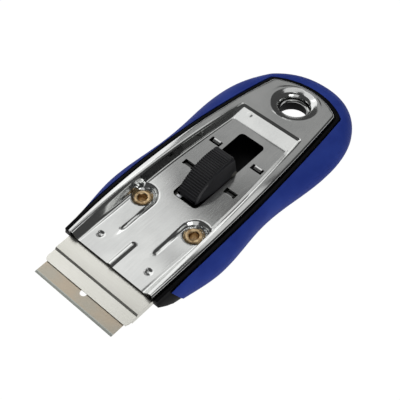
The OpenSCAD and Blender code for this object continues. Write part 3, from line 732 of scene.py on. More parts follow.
@dataclass
class Bench:
    """Turns points on the tool into meshes in the shared frame, and hands them over."""

    front_y: float
    paints: Paintbox = field(default_factory=Paintbox)
    merge_gap: float = 0.002
    flat_degrees: float = 1.0
    fold_reach: float = 0.1

    def to_frame(self, point: Point) -> Vector:
        """A place on the tool as a point of the frame, in metres."""
        return Vector((point[0] * MM, point[1] * MM + self.front_y, point[2] * MM))

    def mesh(self, name: str, points: Sequence[Point],
             faces: Sequence[Sequence[int]]) -> bpy.types.Object:
        """Makes an object from places on the tool.

        Args:
            name: Name of the object.
            points: Places of its corners.
            faces: Corners of each face, counterclockwise from outside.

        Returns:
            New object at the origin.
        """
        data = bpy.data.meshes.new(name)
        data.from_pydata([self.to_frame(p) for p in points], [], [tuple(f) for f in faces])
        data.update()
        return stand(name, data)

    def prism(self, name: str, plan: Sequence[Flat], low: float, high: float) -> bpy.types.Object:
        """Makes an upright prism.

        Args:
            name: Name of the object.
            plan: Its (x, d) corners, counterclockwise from above.
            low: Height of its foot.
            high: Height of its top.

        Returns:
            New object at the origin.
        """
        n = len(plan)
        points = [(x, d, low) for x, d in plan] + [(x, d, high) for x, d in plan]
        sides = [(i, (i + 1) % n, n + (i + 1) % n, n + i) for i in range(n)]
        return self.mesh(name, points, [*sides, tuple(range(n))[::-1], tuple(range(n, 2 * n))])

    def tube(self, name: str, sections: Sequence[Sequence[Point]]) -> bpy.types.Object:
        """Closed body through closed sections, from the first to the last.

        Args:
            name: Name of the object.
            sections: Closed sections in order.

        Returns:
            New object at the origin.
        """
        points, faces = lofted(sections, True)
        n = len(sections[0])
        faces += [tuple(range(n))[::-1], tuple(range(len(points) - n, len(points)))]
        thing = self.mesh(name, points, faces)
        face_outwards(thing)
        return thing

    def copy_node(self, node: bpy.types.Object, name: str, bevel: float = 0.0,
                  degrees: float = 30.0, moved: Flat | None = None) -> bpy.types.Object:
        """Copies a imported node, merges its corners and rounds its edges.

        Args:
            node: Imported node, which isn't changed.
            name: Name of the copy.
            bevel: Width of the rounded edges in millimetres, or 0.
            degrees: Angle above which an edge is rounded and shaded sharp.
            moved: Distance of a fold and the distance that it moves to, or None.

        Returns:
            New object at the origin.
        """
        data = node.data.copy()
        data.name = name
        thing = stand(name, data)
        with editing(thing) as form:
            bmesh.ops.remove_doubles(form, verts=form.verts, dist=self.merge_gap * MM)
            bmesh.ops.dissolve_limit(form, angle_limit=math.radians(self.flat_degrees),
                                     verts=form.verts, edges=form.edges, delimit={"NORMAL"})
            if moved:
                fold, target = (self.to_frame((0.0, d, 0.0)).y for d in moved)
                for corner in form.verts:
                    if abs(corner.co.y - fold) < self.fold_reach * MM:
                        corner.co.y = target
        if "custom_normal" in data.attributes:
            data.attributes.remove(data.attributes["custom_normal"])
        if bevel:
            round_edges(thing, bevel, degrees)
        smooth(thing, degrees)
        return thing

    def hand_over(self, thing: bpy.types.Object, body: Body, finish: Finish, *nodes: str) -> None:
        """Dresses a finished piece and gives it to the frame.

        Args:
            thing: Finished piece at the origin.
            body: Body that it moves with.
            finish: Its finish.
            nodes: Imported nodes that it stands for.
        """
        thing.data.materials.clear()
        thing.data.materials.append(self.paints.material(finish))
        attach(thing, body.value)
        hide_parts(*nodes)
        LOG.info("%s: %d faces on %s", thing.name, len(thing.data.polygons), body.value)


# ---------------------------------------------------------------- shared lines

@dataclass(frozen=True)
class Lines:
    """Lines that cover, tray, grip and rivets share."""

    crest_radius: float = 550.0
    crest_at: float = 46.0
    crest_z: float = 14.2
    panel_z: float = 10.0
    side_radius: float = 560.0
    wide_at: float = 30.0
    half_width: float = 22.1
    rear_radius: float = 26.0
    corner_radius: float = 2.4
    corner_steps: int = 7
    rear_steps: int = 18
    length: float = 117.6
    panel_radius: float = 850.0
    panel_wide_at: float = 5.0
    rail: float = 2.2
    rim: float = 2.6
    rim_drop: float = 1.5
    total_length: float = 128.4
    rivet_x: float = 13.22
    rivet_at: float = 30.1

    @property
    def side_centre(self) -> Flat:
        """Centre of the right bowed side."""
        return self.half_width - self.side_radius, self.wide_at

    @property
    def rear_centre(self) -> Flat:
        """Centre of the bowed rear."""
        return 0.0, self.length - self.rear_radius

    @property
    def corner_centre(self) -> Flat:
        """Centre of the right rear corner."""
        return meet(self.side_centre, self.side_radius - self.corner_radius,
                    self.rear_centre, self.rear_radius - self.corner_radius)

    def crest(self, d: float) -> float:
        """Height of the lengthwise arch."""
        low = self.crest_z - self.crest_radius
        return low + math.sqrt(self.crest_radius ** 2 - (d - self.crest_at) ** 2)

    def cover_half(self, d: float) -> float:
        """Half width of the cover."""
        return self.side_centre[0] + math.sqrt(self.side_radius ** 2 - (d - self.wide_at) ** 2)

    def panel_half(self, d: float) -> float:
        """Half width of the sunken panel."""
        widest = self.cover_half(0) - self.rail
        return widest - self.panel_radius + math.sqrt(
            self.panel_radius ** 2 - (d - self.panel_wide_at) ** 2)

    def outline(self, inset: float, front: float, steps: int) -> list[tuple[Flat, Flat]]:
        """Right half of the cover's outline, from the front to the middle of the rear.

        Args:
            inset: Distance by which it lies inside the cover's edge.
            front: Distance behind the front edge at which it starts.
            steps: Steps along the side.

        Returns:
            Pairs of a point and its outward direction.
        """
        corner = self.corner_centre
        side_end = bearing(self.side_centre, corner)
        corner_end = bearing(self.rear_centre, corner)
        radius = self.side_radius - inset
        start = math.degrees(math.asin((front - self.wide_at) / radius))
        runs = [(self.side_centre, radius, start, side_end, steps),
                (corner, self.corner_radius - inset, side_end, corner_end, self.corner_steps),
                (self.rear_centre, self.rear_radius - inset, corner_end, 90.0, self.rear_steps)]
        found = []
        for number, (centre, r, a, b, count) in enumerate(runs):
            for degrees in spaced(a, b, count)[1 if number else 0:]:
                found.append((polar(centre, r, degrees), polar((0, 0), 1, degrees)))
        return found


# ---------------------------------------------------------------- pressed cover

@dataclass(frozen=True)
class Dimple:
    """Round pressed dimple; its slope runs between two shares of its radius."""

    x: float
    d: float
    radius: float
    depth: float
    slope: Flat = (0.15, 1.15)

    def sunk(self, x: float, d: float) -> float:
        """Depth at a place."""
        reach = math.hypot(x - self.x, d - self.d) / self.radius
        return self.depth * (1 - ease(reach, *self.slope))


@dataclass
class PressedCover:
    """Pressed steel cover, as one sheet with rounded folds."""

    bench: Bench
    lines: Lines
    sheet: float = 0.6
    crease_degrees: float = 42.0
    skirt: float = 2.6
    edge_radius: float = 0.9
    hem_turns: tuple[int, ...] = (18, 36, 54, 72, 90)
    fold: float = 0.3
    # Rails: leaning inner wall, crown at its top, and a roof that falls outwards
    wall_run: Flat = (2.35, 1.15)
    wall_narrow_at: float = 60.0
    wall_top: float = 0.25
    wall_fold: float = 0.22
    crown_fall: float = 0.4
    crown_run: float = 1.3
    crown_share: float = 0.7
    roof_fall: float = 0.38
    roof_power: float = 1.6
    roof_edge: float = 0.75
    roof_least: float = 0.4
    platform_share: float = 0.35
    # Panel
    floor_blend: float = 0.3
    foot_groove: float = 0.16
    groove_in: float = 0.35
    groove_width: float = 0.5
    dimple: Dimple = Dimple(12.2, 7.4, 1.6, 0.5)
    bead_length: float = 13.0
    bead_half: float = 1.4
    bead_height: float = 0.9
    bead_blend: float = 0.12
    # Ramp
    ramp_foot: float = 84.0
    ramp_angle: float = 12.4
    ramp_top: float = 91.6
    ramp_blend: float = 0.3
    lip_run: float = 1.5
    lip_rise: float = 0.85
    pip: Dimple = Dimple(-9.5, 88.6, 1.6, 0.12)
    # Rivet pockets
    pocket_x: float = 13.52
    pocket_depth: float = 1.45
    floor_depth: float = 0.38
    floor_run: Flat = (3.0, 27.0)
    rim_radius: float = 6.7
    trench_front: float = 13.7
    trench_bow: float = 1.2
    trench_round: float = 0.9
    trench_start: float = 0.7
    trench_deep: float = 20.0
    trench_middle: float = 1.65
    trench_rise: float = 1.3
    bank_run: float = 0.75
    seat_radius: float = 3.55
    seat_run: float = 0.8
    # Slot, rivet holes and tabs
    slot_half: float = 6.15
    slot_front: float = 38.6
    slot_rear: float = 79.8
    slot_corner: float = 1.8
    slot_corner_steps: int = 8
    rivet_radius: float = 2.35
    rivet_steps: int = 40
    cut_depth: float = 4.0
    cut_height: float = 2.0
    tab_x: float = 10.6
    tab_length: float = 1.6
    tab_width: float = 3.3
    tab_gap: float = 1.05
    tab_bend: float = 22.0
    tab_root: float = 0.3
    tab_drop: float = 0.01
    tab_steps: int = 6
    tab_bend_steps: int = 3
    tab_hinges: tuple[tuple[float, int], ...] = ((52.1, 1), (70.5, -1))
    # Hanging hole
    hole_at: float = 106.0
    dish_radius: float = 10.1
    dish_edge: tuple[Flat, ...] = ((0.45, 0.0), (0.1, -0.03))
    dish_angle: float = 19.0
    throat_radius: float = 5.9
    roll_axes: Flat = (2.5, 3.9)
    roll_steps: int = 16
    collar_low: float = 6.1
    # Places at which the sheet is sampled
    joint_at: float = 94.5
    row_step: float = 0.42
    border_steps: int = 22
    panel_columns: int = 44
    wall_columns: int = 24
    rail_columns: int = 8
    wall_margin: float = 1.3
    crown_margin: float = 0.7
    platform_rings: tuple[float, ...] = (0.08, 0.2, 0.34, 0.5, 0.66, 0.82)
    dish_rings: tuple[float, ...] = (0.2, 0.45, 0.7)
    collar_rings: tuple[float, ...] = (0.33, 0.66, 1.0)

    def floor(self, x: float, d: float) -> float:
        """Height of the sunken panel with its pockets, bead, dimples and ramp.

        Args:
            x: Place across.
            d: Distance behind the front edge.

        Returns:
            Height above the back.
        """
        side = abs(x)
        panel = self.lines.panel_z
        z = panel - self._pocket(side, d)
        foot = (self.wall_foot(d) - self.groove_in - side) / self.groove_width
        z -= self.foot_groove * math.exp(-foot * foot)
        z -= self.dimple.sunk(side, d)
        pip = self.pip.sunk(x, d) if d > self.ramp_foot else 0.0
        ball = (self.bead_half ** 2 + self.bead_height ** 2) / (2 * self.bead_height)
        past = max(0.0, d - (self.bead_length - ball))
        reach = ball * ball - side * side - past * past
        if reach > 0:
            z = soft_max(z, panel + self.bead_height - ball + math.sqrt(reach), self.bead_blend)
        ramp = panel + (d - self.ramp_foot) * math.tan(math.radians(self.ramp_angle))
        ramp += self.lip_rise * ease(d, self.ramp_top - self.lip_run, self.ramp_top)
        return soft_max(z, ramp, self.ramp_blend) + pip

    def _pocket(self, side: float, d: float) -> float:
        """Depth of a rivet's pocket: a sinking floor, a trench along its wall, and a seat.

        Args:
            side: Distance from the tool's middle.
            d: Distance behind the cover's front edge.

        Returns:
            Depth below the panel.
        """
        rivet_at = self.lines.rivet_at
        behind = max(0.0, d - rivet_at)
        beside = side > self.pocket_x and not behind
        reach = 0.0 if beside else math.hypot(side - self.pocket_x, behind)
        inward = self.rim_radius - reach
        if inward <= 0:
            return 0.0
        floor = self.floor_depth * ease(d, *self.floor_run)
        middle = self.trench_middle
        deepening = ease(d, self.trench_deep, rivet_at)
        bottom = mix(self.trench_start, self.pocket_depth, deepening)
        wall = rounded_ramp(inward / middle, self.fold)
        bank = rounded_ramp((inward - middle) / self.bank_run, self.fold)
        sides = clamp(abs(inward - middle) / middle)
        bow = 1 - math.sqrt(1 - self.trench_round * sides * sides)
        front = self.trench_front + self.trench_bow * bow
        opened = rounded_ramp((d - front) / self.trench_rise, self.fold)
        trench = (bottom - floor) * (1 - bank) * opened
        seat = math.hypot(side - self.lines.rivet_x, d - rivet_at)
        rise = rounded_ramp((seat - self.seat_radius) / self.seat_run, self.fold)
        return wall * (floor + max(trench, (self.pocket_depth - floor) * (1 - rise)))

    def wall_foot(self, d: float) -> float:
        """Distance from the middle at which a rail's leaning inner wall starts."""
        return self.lines.panel_half(d) - mix(*self.wall_run, ease(d, 0.0, self.wall_narrow_at))

    def height(self, x: float, d: float) -> float:
        """Height of the cover's outer surface.

        Args:
            x: Place across.
            d: Distance behind the front edge.

        Returns:
            Height above the back.
        """
        crest = self.lines.crest(d)
        half = self.lines.panel_half(d)
        floor = soft_min(self.floor(x, d), crest, self.floor_blend)
        side = abs(x) - half
        foot = self.wall_foot(d) - half
        wall = rounded_ramp((side - foot) / (self.wall_top - foot), self.wall_fold)
        rail = clamp((crest - floor) / (crest - self.lines.panel_z))
        width = max(self.roof_least, self.lines.cover_half(d) - half - self.roof_edge)
        out = clamp((side - self.roof_edge) / width)
        inner = clamp(1 - (side - self.wall_top) / min(self.crown_run, self.crown_share * width))
        fall = self.roof_fall * out ** self.roof_power + self.crown_fall * inner ** 2
        roof = crest - fall * mix(self.platform_share, 1.0, rail)
        return mix(min(floor, roof) if wall < 1 else roof, roof, wall)

    def _columns(self, d: float) -> list[float]:
        """Places across the right half at which the sheet is sampled.

        Args:
            d: Distance behind the front edge.

        Returns:
            Distances from the middle, the first of them 0.
        """
        crown = self.lines.panel_half(d) + self.crown_margin
        edge = self.lines.cover_half(d) - self.edge_radius
        start = self.wall_foot(d) - self.wall_margin
        return [*spaced(0, start, self.panel_columns),
                *spaced(start, crown, self.wall_columns)[1:],
                *spaced(crown, edge, self.rail_columns)[1:]]

    def _hem(self, point: Flat, out: Flat) -> list[Point]:
        """Rounded edge and skirt outwards from a point of the inner outline.

        Args:
            point: Point of the inner outline.
            out: Outward direction there.

        Returns:
            Points down to the skirt's foot.
        """
        top = self.height(*point)
        foot = self.lines.crest(point[1]) - self.skirt
        rounded = []
        for degrees in self.hem_turns:
            a = math.radians(degrees)
            reach = self.edge_radius * math.sin(a)
            rounded.append((point[0] + out[0] * reach, point[1] + out[1] * reach,
                            top - self.edge_radius * (1 - math.cos(a))))
        x, d, z = rounded[-1]
        return [*rounded, (x, d, mix(z, foot, 0.5)), (x, d, foot)]

    def _row(self, d: float) -> list[Point]:
        """One cross-section, from the left skirt to the right skirt.

        Args:
            d: Distance behind the front edge.

        Returns:
            Points of the outer surface.
        """
        columns = self._columns(d)
        across = [-x for x in reversed(columns[1:])] + columns
        hem = self._hem((columns[-1], d), (1.0, 0.0))
        return [*[(-x, e, z) for x, e, z in reversed(hem)],
                *[(x, d, self.height(x, d)) for x in across], *hem]

    def _mouth(self) -> list[Flat]:
        """Section of the hanging hole's dish and of its roll, down to the throat.

        Returns:
            Pairs of a radius and a height over the platform.
        """
        wide, high = self.roll_axes
        slope = math.tan(math.radians(self.dish_angle))
        start = math.degrees(math.atan(slope * wide / high))
        centre = self.throat_radius + wide
        touch = centre - wide * math.sin(math.radians(start))
        low = -(self.dish_radius - touch) * slope
        lift = high * (1 - math.cos(math.radians(start)))
        found = [(self.dish_radius + out, depth) for out, depth in self.dish_edge]
        found += [(mix(self.dish_radius, touch, share), low * share) for share in self.dish_rings]
        for degrees in spaced(start, 90, self.roll_steps):
            a = math.radians(degrees)
            found.append((centre - wide * math.sin(a), low + lift - high * (1 - math.cos(a))))
        return found

    def _shell(self) -> bpy.types.Object:
        """Outer surface: a grid up to the platform, and rings round the hanging hole.

        Returns:
            Open surface without thickness.
        """
        steps = round(self.joint_at / self.row_step)
        rows = [self._row(d) for d in spaced(0, self.joint_at, steps)]
        points, faces = lofted(rows, False)
        width = len(rows[0])
        last = (len(rows) - 1) * width
        hem = len(self.hem_turns) + 2
        border = self.lines.outline(self.edge_radius, self.joint_at, self.border_steps)[1:]
        border += [((-x, d), (-u, v)) for (x, d), (u, v) in reversed(border[:-1])]
        chains = [[last + width - 1 - hem + m for m in range(hem + 1)]]
        for point, out in border:
            start = len(points)
            points += [(*point, self.height(*point)), *self._hem(point, out)]
            chains.append(list(range(start, start + hem + 1)))
        chains.append([last + hem - m for m in range(hem + 1)])
        for a, b in zip(chains, chains[1:]):
            faces += [(a[m + 1], b[m + 1], b[m], a[m]) for m in range(hem)]
        loop = [chain[0] for chain in chains]
        loop += [last + hem + 1 + i for i in range(width - 2 * hem - 2)]
        for ring in self._rings([points[i] for i in loop]):
            before, n = loop, len(ring)
            loop = list(range(len(points), len(points) + n))
            points += ring
            faces += [(before[k], before[(k + 1) % n], loop[(k + 1) % n], loop[k])
                      for k in range(n)]
        return self.bench.mesh("pressed_cover", points, faces)

    def _rings(self, outer: list[Point]) -> Iterator[list[Point]]:
        """Rings that fill the platform inwards, down into the collar.

        Args:
            outer: Points of the platform's border.

        Yields:
            Rings with as many points as the border.
        """
        mouth = self._mouth()
        turns = [math.atan2(d - self.hole_at, x) for x, d, _ in outer]
        first = mouth[0][0]
        for share in self.platform_rings:
            ring = []
            for (x, d, _), turn in zip(outer, turns):
                gx = mix(x, first * math.cos(turn), share)
                gd = mix(d, self.hole_at + first * math.sin(turn), share)
                ring.append((gx, gd, self.height(gx, gd)))
            yield ring
        for radius, depth in mouth:
            ring = [self._on_circle(radius, depth, turn) for turn in turns]
            yield ring
        for share in self.collar_rings:
            yield [(x, d, mix(z, self.collar_low, share)) for x, d, z in ring]

    def _on_circle(self, radius: float, depth: float, turn: float) -> Point:
        """Point round the hanging hole, at a height over the platform."""
        d = self.hole_at + radius * math.sin(turn)
        return radius * math.cos(turn), d, self.lines.crest(d) + depth

    def _slot_plan(self) -> list[Flat]:
        """Plan of the slot with rounded corners.

        Returns:
            Corners, counterclockwise from above.
        """
        r = self.slot_corner
        plan: list[Flat] = []
        for x, d, start in ((1, self.slot_front + r, -90), (1, self.slot_rear - r, 0),
                            (-1, self.slot_rear - r, 90), (-1, self.slot_front + r, 180)):
            centre = (x * (self.slot_half - r), d)
            plan += [polar(centre, r, a)
                     for a in spaced(start, start + 90, self.slot_corner_steps)]
        return plan

    def _cutters(self) -> list[bpy.types.Object]:
        """Closed meshes for the slot, the rivet holes and the cuts round the tabs.

        Returns:
            Cutters that reach through the panel.
        """
        plans = [self._slot_plan()]
        half = self.tab_width / 2 + self.tab_gap
        for side in (-1, 1):
            centre = (side * self.lines.rivet_x, self.lines.rivet_at)
            plans.append([polar(centre, self.rivet_radius, a)
                          for a in spaced(0, 360, self.rivet_steps)[:-1]])
            for hinge, way in self.tab_hinges:
                a, b = sorted((hinge, hinge + way * (self.tab_length + self.tab_gap)))
                x = side * self.tab_x
                plans.append([(x - half, a), (x + half, a), (x + half, b), (x - half, b)])
        low, high = self.lines.panel_z - self.cut_depth, self.lines.panel_z + self.cut_height
        return [self.bench.prism("sheet_cut", plan, low, high) for plan in plans]

    def _tab(self, x: float, hinge: float, way: int) -> bpy.types.Object:
        """One lanced tab, bent down in a smooth curve from its hinge.

        Args:
            x: Place of its middle.
            hinge: Distance of its hinge behind the front edge.
            way: 1 if it points backwards and -1 if it points forwards.

        Returns:
            New object at the origin.
        """
        half, run = self.tab_width / 2, self.tab_length / self.tab_steps
        d, z = hinge, self.lines.panel_z - self.tab_drop
        upper = [(hinge - way * self.tab_root, z), (d, z)]
        for i in range(self.tab_steps):
            bend = math.radians(self.tab_bend * min(1.0, (i + 1) / self.tab_bend_steps))
            d += way * run * math.cos(bend)
            z -= run * math.sin(bend)
            upper.append((d, z))
        return self.bench.tube("tab", [
            [(x - half, d, z), (x + half, d, z), (x + half, d, z - self.sheet),
             (x - half, d, z - self.sheet)] for d, z in upper])

    def build(self) -> None:
        """Builds and dresses the cover."""
        cover = self._shell()
        thicken(cover, self.sheet)
        cut(cover, self._cutters())
        join(cover, [self._tab(side * self.tab_x, hinge, way)
                     for side in (-1, 1) for hinge, way in self.tab_hinges])
        smooth(cover, self.crease_degrees)
        self.bench.hand_over(cover, Body.HANDLE, COVER_FINISH, "top_cover")


# ---------------------------------------------------------------- soft grip and tray

@dataclass
class SoftGrip:
    """Soft rubber grip round the tray, as a loft of closed sections."""

    bench: Bench
    lines: Lines
    nose_over: float = 0.7
    bulge_over: float = 4.2
    waist_over: float = 2.85
    lobe_over: float = 8.3
    bulge_at: float = 30.0
    waist_at: float = 56.0
    lobe_at: float = 90.0
    lobe_power: float = 2.2
    widest_drop: float = 8.2
    widest_low: float = 2.0
    back_edge: float = 2.2
    inner_tuck: float = 1.0
    seam_gap: float = 0.05
    nose_top: float = 6.0
    nose_back: float = 12.0
    side_steps: int = 70
    lobe_steps: int = 60
    shoulder_steps: int = 20
    back_steps: int = 6
    crease_degrees: float = 50.0

    def _keys(self) -> list[Flat]:
        """Key places along the side with their half widths."""
        keys = ((0.0, self.nose_over), (self.bulge_at, self.bulge_over),
                (self.waist_at, self.waist_over), (self.lobe_at, self.lobe_over))
        return [(d, self.lines.cover_half(d) + self.lines.rim + over) for d, over in keys]

    def _widest(self, i: int) -> Flat:
        """Point of the widest line at a station.

        Args:
            i: Number of the station, from the front.

        Returns:
            Point of its right half.
        """
        keys = self._keys()
        if i <= self.side_steps:
            d = self.lobe_at * i / self.side_steps
            k = max(n for n in range(3) if d >= keys[n][0])
            (da, wa), (db, wb) = keys[k], keys[k + 1]
            return mix(wa, wb, (1 - math.cos(math.pi * (d - da) / (db - da))) / 2), d
        a = math.pi / 2 * (i - self.side_steps) / self.lobe_steps
        power = 2 / self.lobe_power
        return (keys[3][1] * max(0.0, math.cos(a)) ** power,
                self.lobe_at + (self.lines.total_length - self.lobe_at) * math.sin(a) ** power)

    def _rim_point(self, e: Flat, beside: bool, out: float) -> Flat:
        """Finds the point beside the rim that belongs to a point of the widest line.

        Args:
            e: Point of the widest line.
            beside: Whether it lies on the straight run along the side.
            out: Distance outside the cover's edge.

        Returns:
            Point straight beside it, or towards the lobe's middle.
        """
        if beside:
            return self.lines.cover_half(e[1]) + out, e[1]
        start = Vector((0, self.lobe_at))
        u = (Vector(e) - start).normalized()
        reach = []
        for centre, radius in ((self.lines.side_centre, self.lines.side_radius + out),
                               (self.lines.rear_centre, self.lines.rear_radius + out)):
            q = start - Vector(centre)
            b = q.dot(u)
            reach.append(math.sqrt(b * b - q.dot(q) + radius * radius) - b)
        p = start + u * min(reach)
        return p[0], p[1]

    def _section(self, i: int) -> list[Point]:
        """Closed section at a station.

        Args:
            i: Number of the station, from the front.

        Returns:
            Points over the shoulder to the back, and back up the rim's wall.
        """
        e = Vector(self._widest(i))
        beside = i <= self.side_steps
        tuck = Vector(self._rim_point(e, beside, self.lines.rim - self.inner_tuck))
        wall = Vector(self._rim_point(e, beside, self.lines.rim + self.seam_gap))
        top = self.lines.crest(tuck[1]) - self.lines.rim_drop
        mid = max(self.widest_low, self.lines.crest(e[1]) - self.widest_drop)
        out = (e - tuck).normalized()
        start = math.asin(clamp((wall - tuck).length / (e - tuck).length))
        found = []
        for a in spaced(start, math.pi / 2, self.shoulder_steps):
            p = tuck + (e - tuck) * math.sin(a)
            found.append((p[0], p[1], mid + (top - mid) * math.cos(a)))
        for a in spaced(0, math.pi / 2, self.back_steps)[1:]:
            p = e - out * self.back_edge * (1 - math.cos(a))
            found.append((p[0], p[1], mid * (1 - math.sin(a))))
        found.append((wall[0], wall[1], 0.0))
        return found

    def _loft(self) -> bpy.types.Object:
        """Closed body from one front end round the rear to the other.

        Returns:
            New object at the origin.
        """
        right = [self._section(i) for i in range(self.side_steps + self.lobe_steps + 1)]
        left = [[(-x, d, z) for x, d, z in s] for s in reversed(right[:-1])]
        return self.bench.tube("blue_grip", right + left)

    def _trim(self, thing: bpy.types.Object) -> None:
        """Cuts off what lies in front of the slanted seam, and closes both ends.

        Args:
            thing: Closed body of the grip.
        """
        seam_top = self.lines.crest(0) - self.lines.rim_drop
        lean = Vector((0.0, seam_top, self.nose_back - self.nose_top)).normalized()
        where = self.bench.to_frame((0.0, self.nose_back + self.seam_gap, 0.0))
        with editing(thing) as form:
            bmesh.ops.bisect_plane(form, geom=[*form.verts, *form.edges, *form.faces],
                                   plane_co=where, plane_no=lean, clear_inner=True)
            bmesh.ops.holes_fill(form, edges=[e for e in form.edges if e.is_boundary], sides=0)

    def build(self) -> None:
        """Builds and dresses the grip."""
        grip = self._loft()
        self._trim(grip)
        smooth(grip, self.crease_degrees)
        self.bench.hand_over(grip, Body.HANDLE, GRIP_FINISH, "soft_grip")


@dataclass
class MouldedTray:
    """Black tray with a grooved rim round the cover."""

    bench: Bench
    lines: Lines
    node: bpy.types.Object
    groove_in: float = 0.05
    groove_foot: float = 0.7
    groove_out: float = 0.95
    groove_depth: float = 0.9
    groove_over: float = 1.0
    groove_front: float = -1.0
    groove_steps: int = 60
    edge: float = 0.22
    edge_degrees: float = 35.0

    def _groove(self) -> bpy.types.Object:
        """Closed strip along the cover's outline that cuts the groove between cover and rim.

        Returns:
            New object at the origin.
        """
        right = []
        for (x, d), (u, v) in self.lines.outline(0.0, self.groove_front, self.groove_steps):
            top = self.lines.crest(d) - self.lines.rim_drop
            low, high = top - self.groove_depth, top + self.groove_over
            corners = ((self.groove_in, low), (self.groove_foot, low),
                       (self.groove_out, high), (self.groove_in, high))
            right.append([(x + u * out, d + v * out, z) for out, z in corners])
        left = [[(-x, d, z) for x, d, z in s] for s in reversed(right[:-1])]
        return self.bench.tube("groove_cut", right + left)

    def build(self) -> None:
        """Builds and dresses the tray."""
        tray = self.bench.copy_node(self.node, "moulded_tray")
        cut(tray, [self._groove()])
        round_edges(tray, self.edge, self.edge_degrees)
        smooth(tray, self.edge_degrees)
        self.bench.hand_over(tray, Body.HANDLE, TRAY_FINISH, "body_tray")


# ---------------------------------------------------------------- rivets

@dataclass
class HollowRivet:
    """Hollow brass rivet with rolled flanges, turned round its axis."""

    bench: Bench
    lines: Lines
    side: int
    tube: float = 2.3
    wall: float = 0.5
    flange: float = 3.35
    flange_t: float = 0.6
    lip: float = 0.45
    lip_radius: float = 0.5
    top: float = 8.55
    low: float = 1.25
    roll_over: float = 0.05
    roll_steps: int = 8
    lip_steps: int = 6
    steps: int = 48
    crease_degrees: float = 50.0
    # The swept circle is tiny, so that the profile's own radius counts from the axis
    sweep_radius: float = 1e-5

    def _profile(self) -> list[Flat]:
        """Radius and height of the rivet's section, counterclockwise.

        Returns:
            Pairs of a radius and a height.
        """
        bore = self.tube - self.wall
        roll = self.flange_t / 2 + self.roll_over
        mouth = self.top + self.flange_t
        outer, foot = ([polar((self.flange - roll, z), roll, a)
                        for a in spaced(-90, 90, self.roll_steps)]
                       for z in (self.top + roll, self.low - roll))
        lip = [polar((bore + self.lip, mouth - self.lip), self.lip_radius, a)
               for a in spaced(90, 180, self.lip_steps)]
        return [(bore, self.low - self.flange_t), *foot, (self.tube, self.low),
                (self.tube, self.top), *outer, *lip]

    def build(self) -> None:
        """Builds and dresses the rivet."""
        name = "left" if self.side < 0 else "right"
        g = Shaper(f"turned_rivet_{name}")
        steps = g.size("Steps round", self.steps, "NodeSocketInt")
        radius = g.size("Profile radius", 1.0)
        paint = g.size("Finish", self.bench.paints.material(BRASS_FINISH), "NodeSocketMaterial")
        profile = self._profile()
        section = self.bench.mesh("rivet_section", [(r, -z, 0.0) for r, z in profile],
                                  [tuple(range(len(profile)))])
        section.data.transform(Matrix.Translation((0, -self.bench.front_y, 0)))
        info = g.add("GeometryNodeObjectInfo", inputs={"Object": section}, output="Geometry")
        outline = g.add("GeometryNodeMeshToCurve", inputs={"Mesh": info})
        ring = g.add("GeometryNodeCurvePrimitiveCircle", {"mode": "RADIUS"}, {
            "Resolution": steps, "Radius": self.sweep_radius})
        sweep = g.add("GeometryNodeCurveToMesh", inputs={"Curve": ring, "Profile Curve": outline})
        place = (self.side * self.lines.rivet_x, self.lines.rivet_at, 0.0)
        sized = g.add("GeometryNodeTransform", inputs={
            "Geometry": sweep, "Scale": g.triple(radius, radius, radius),
            "Translation": self.bench.to_frame(place)})
        g.finish(sized, paint)
        rivet = g.bake(f"brass_rivet_{name}")
        bpy.data.objects.remove(section)
        face_outwards(rivet)
        smooth(rivet, self.crease_degrees)
        self.bench.hand_over(rivet, Body.HANDLE, BRASS_FINISH, f"rivet_{name}")


# ---------------------------------------------------------------- thumb slide

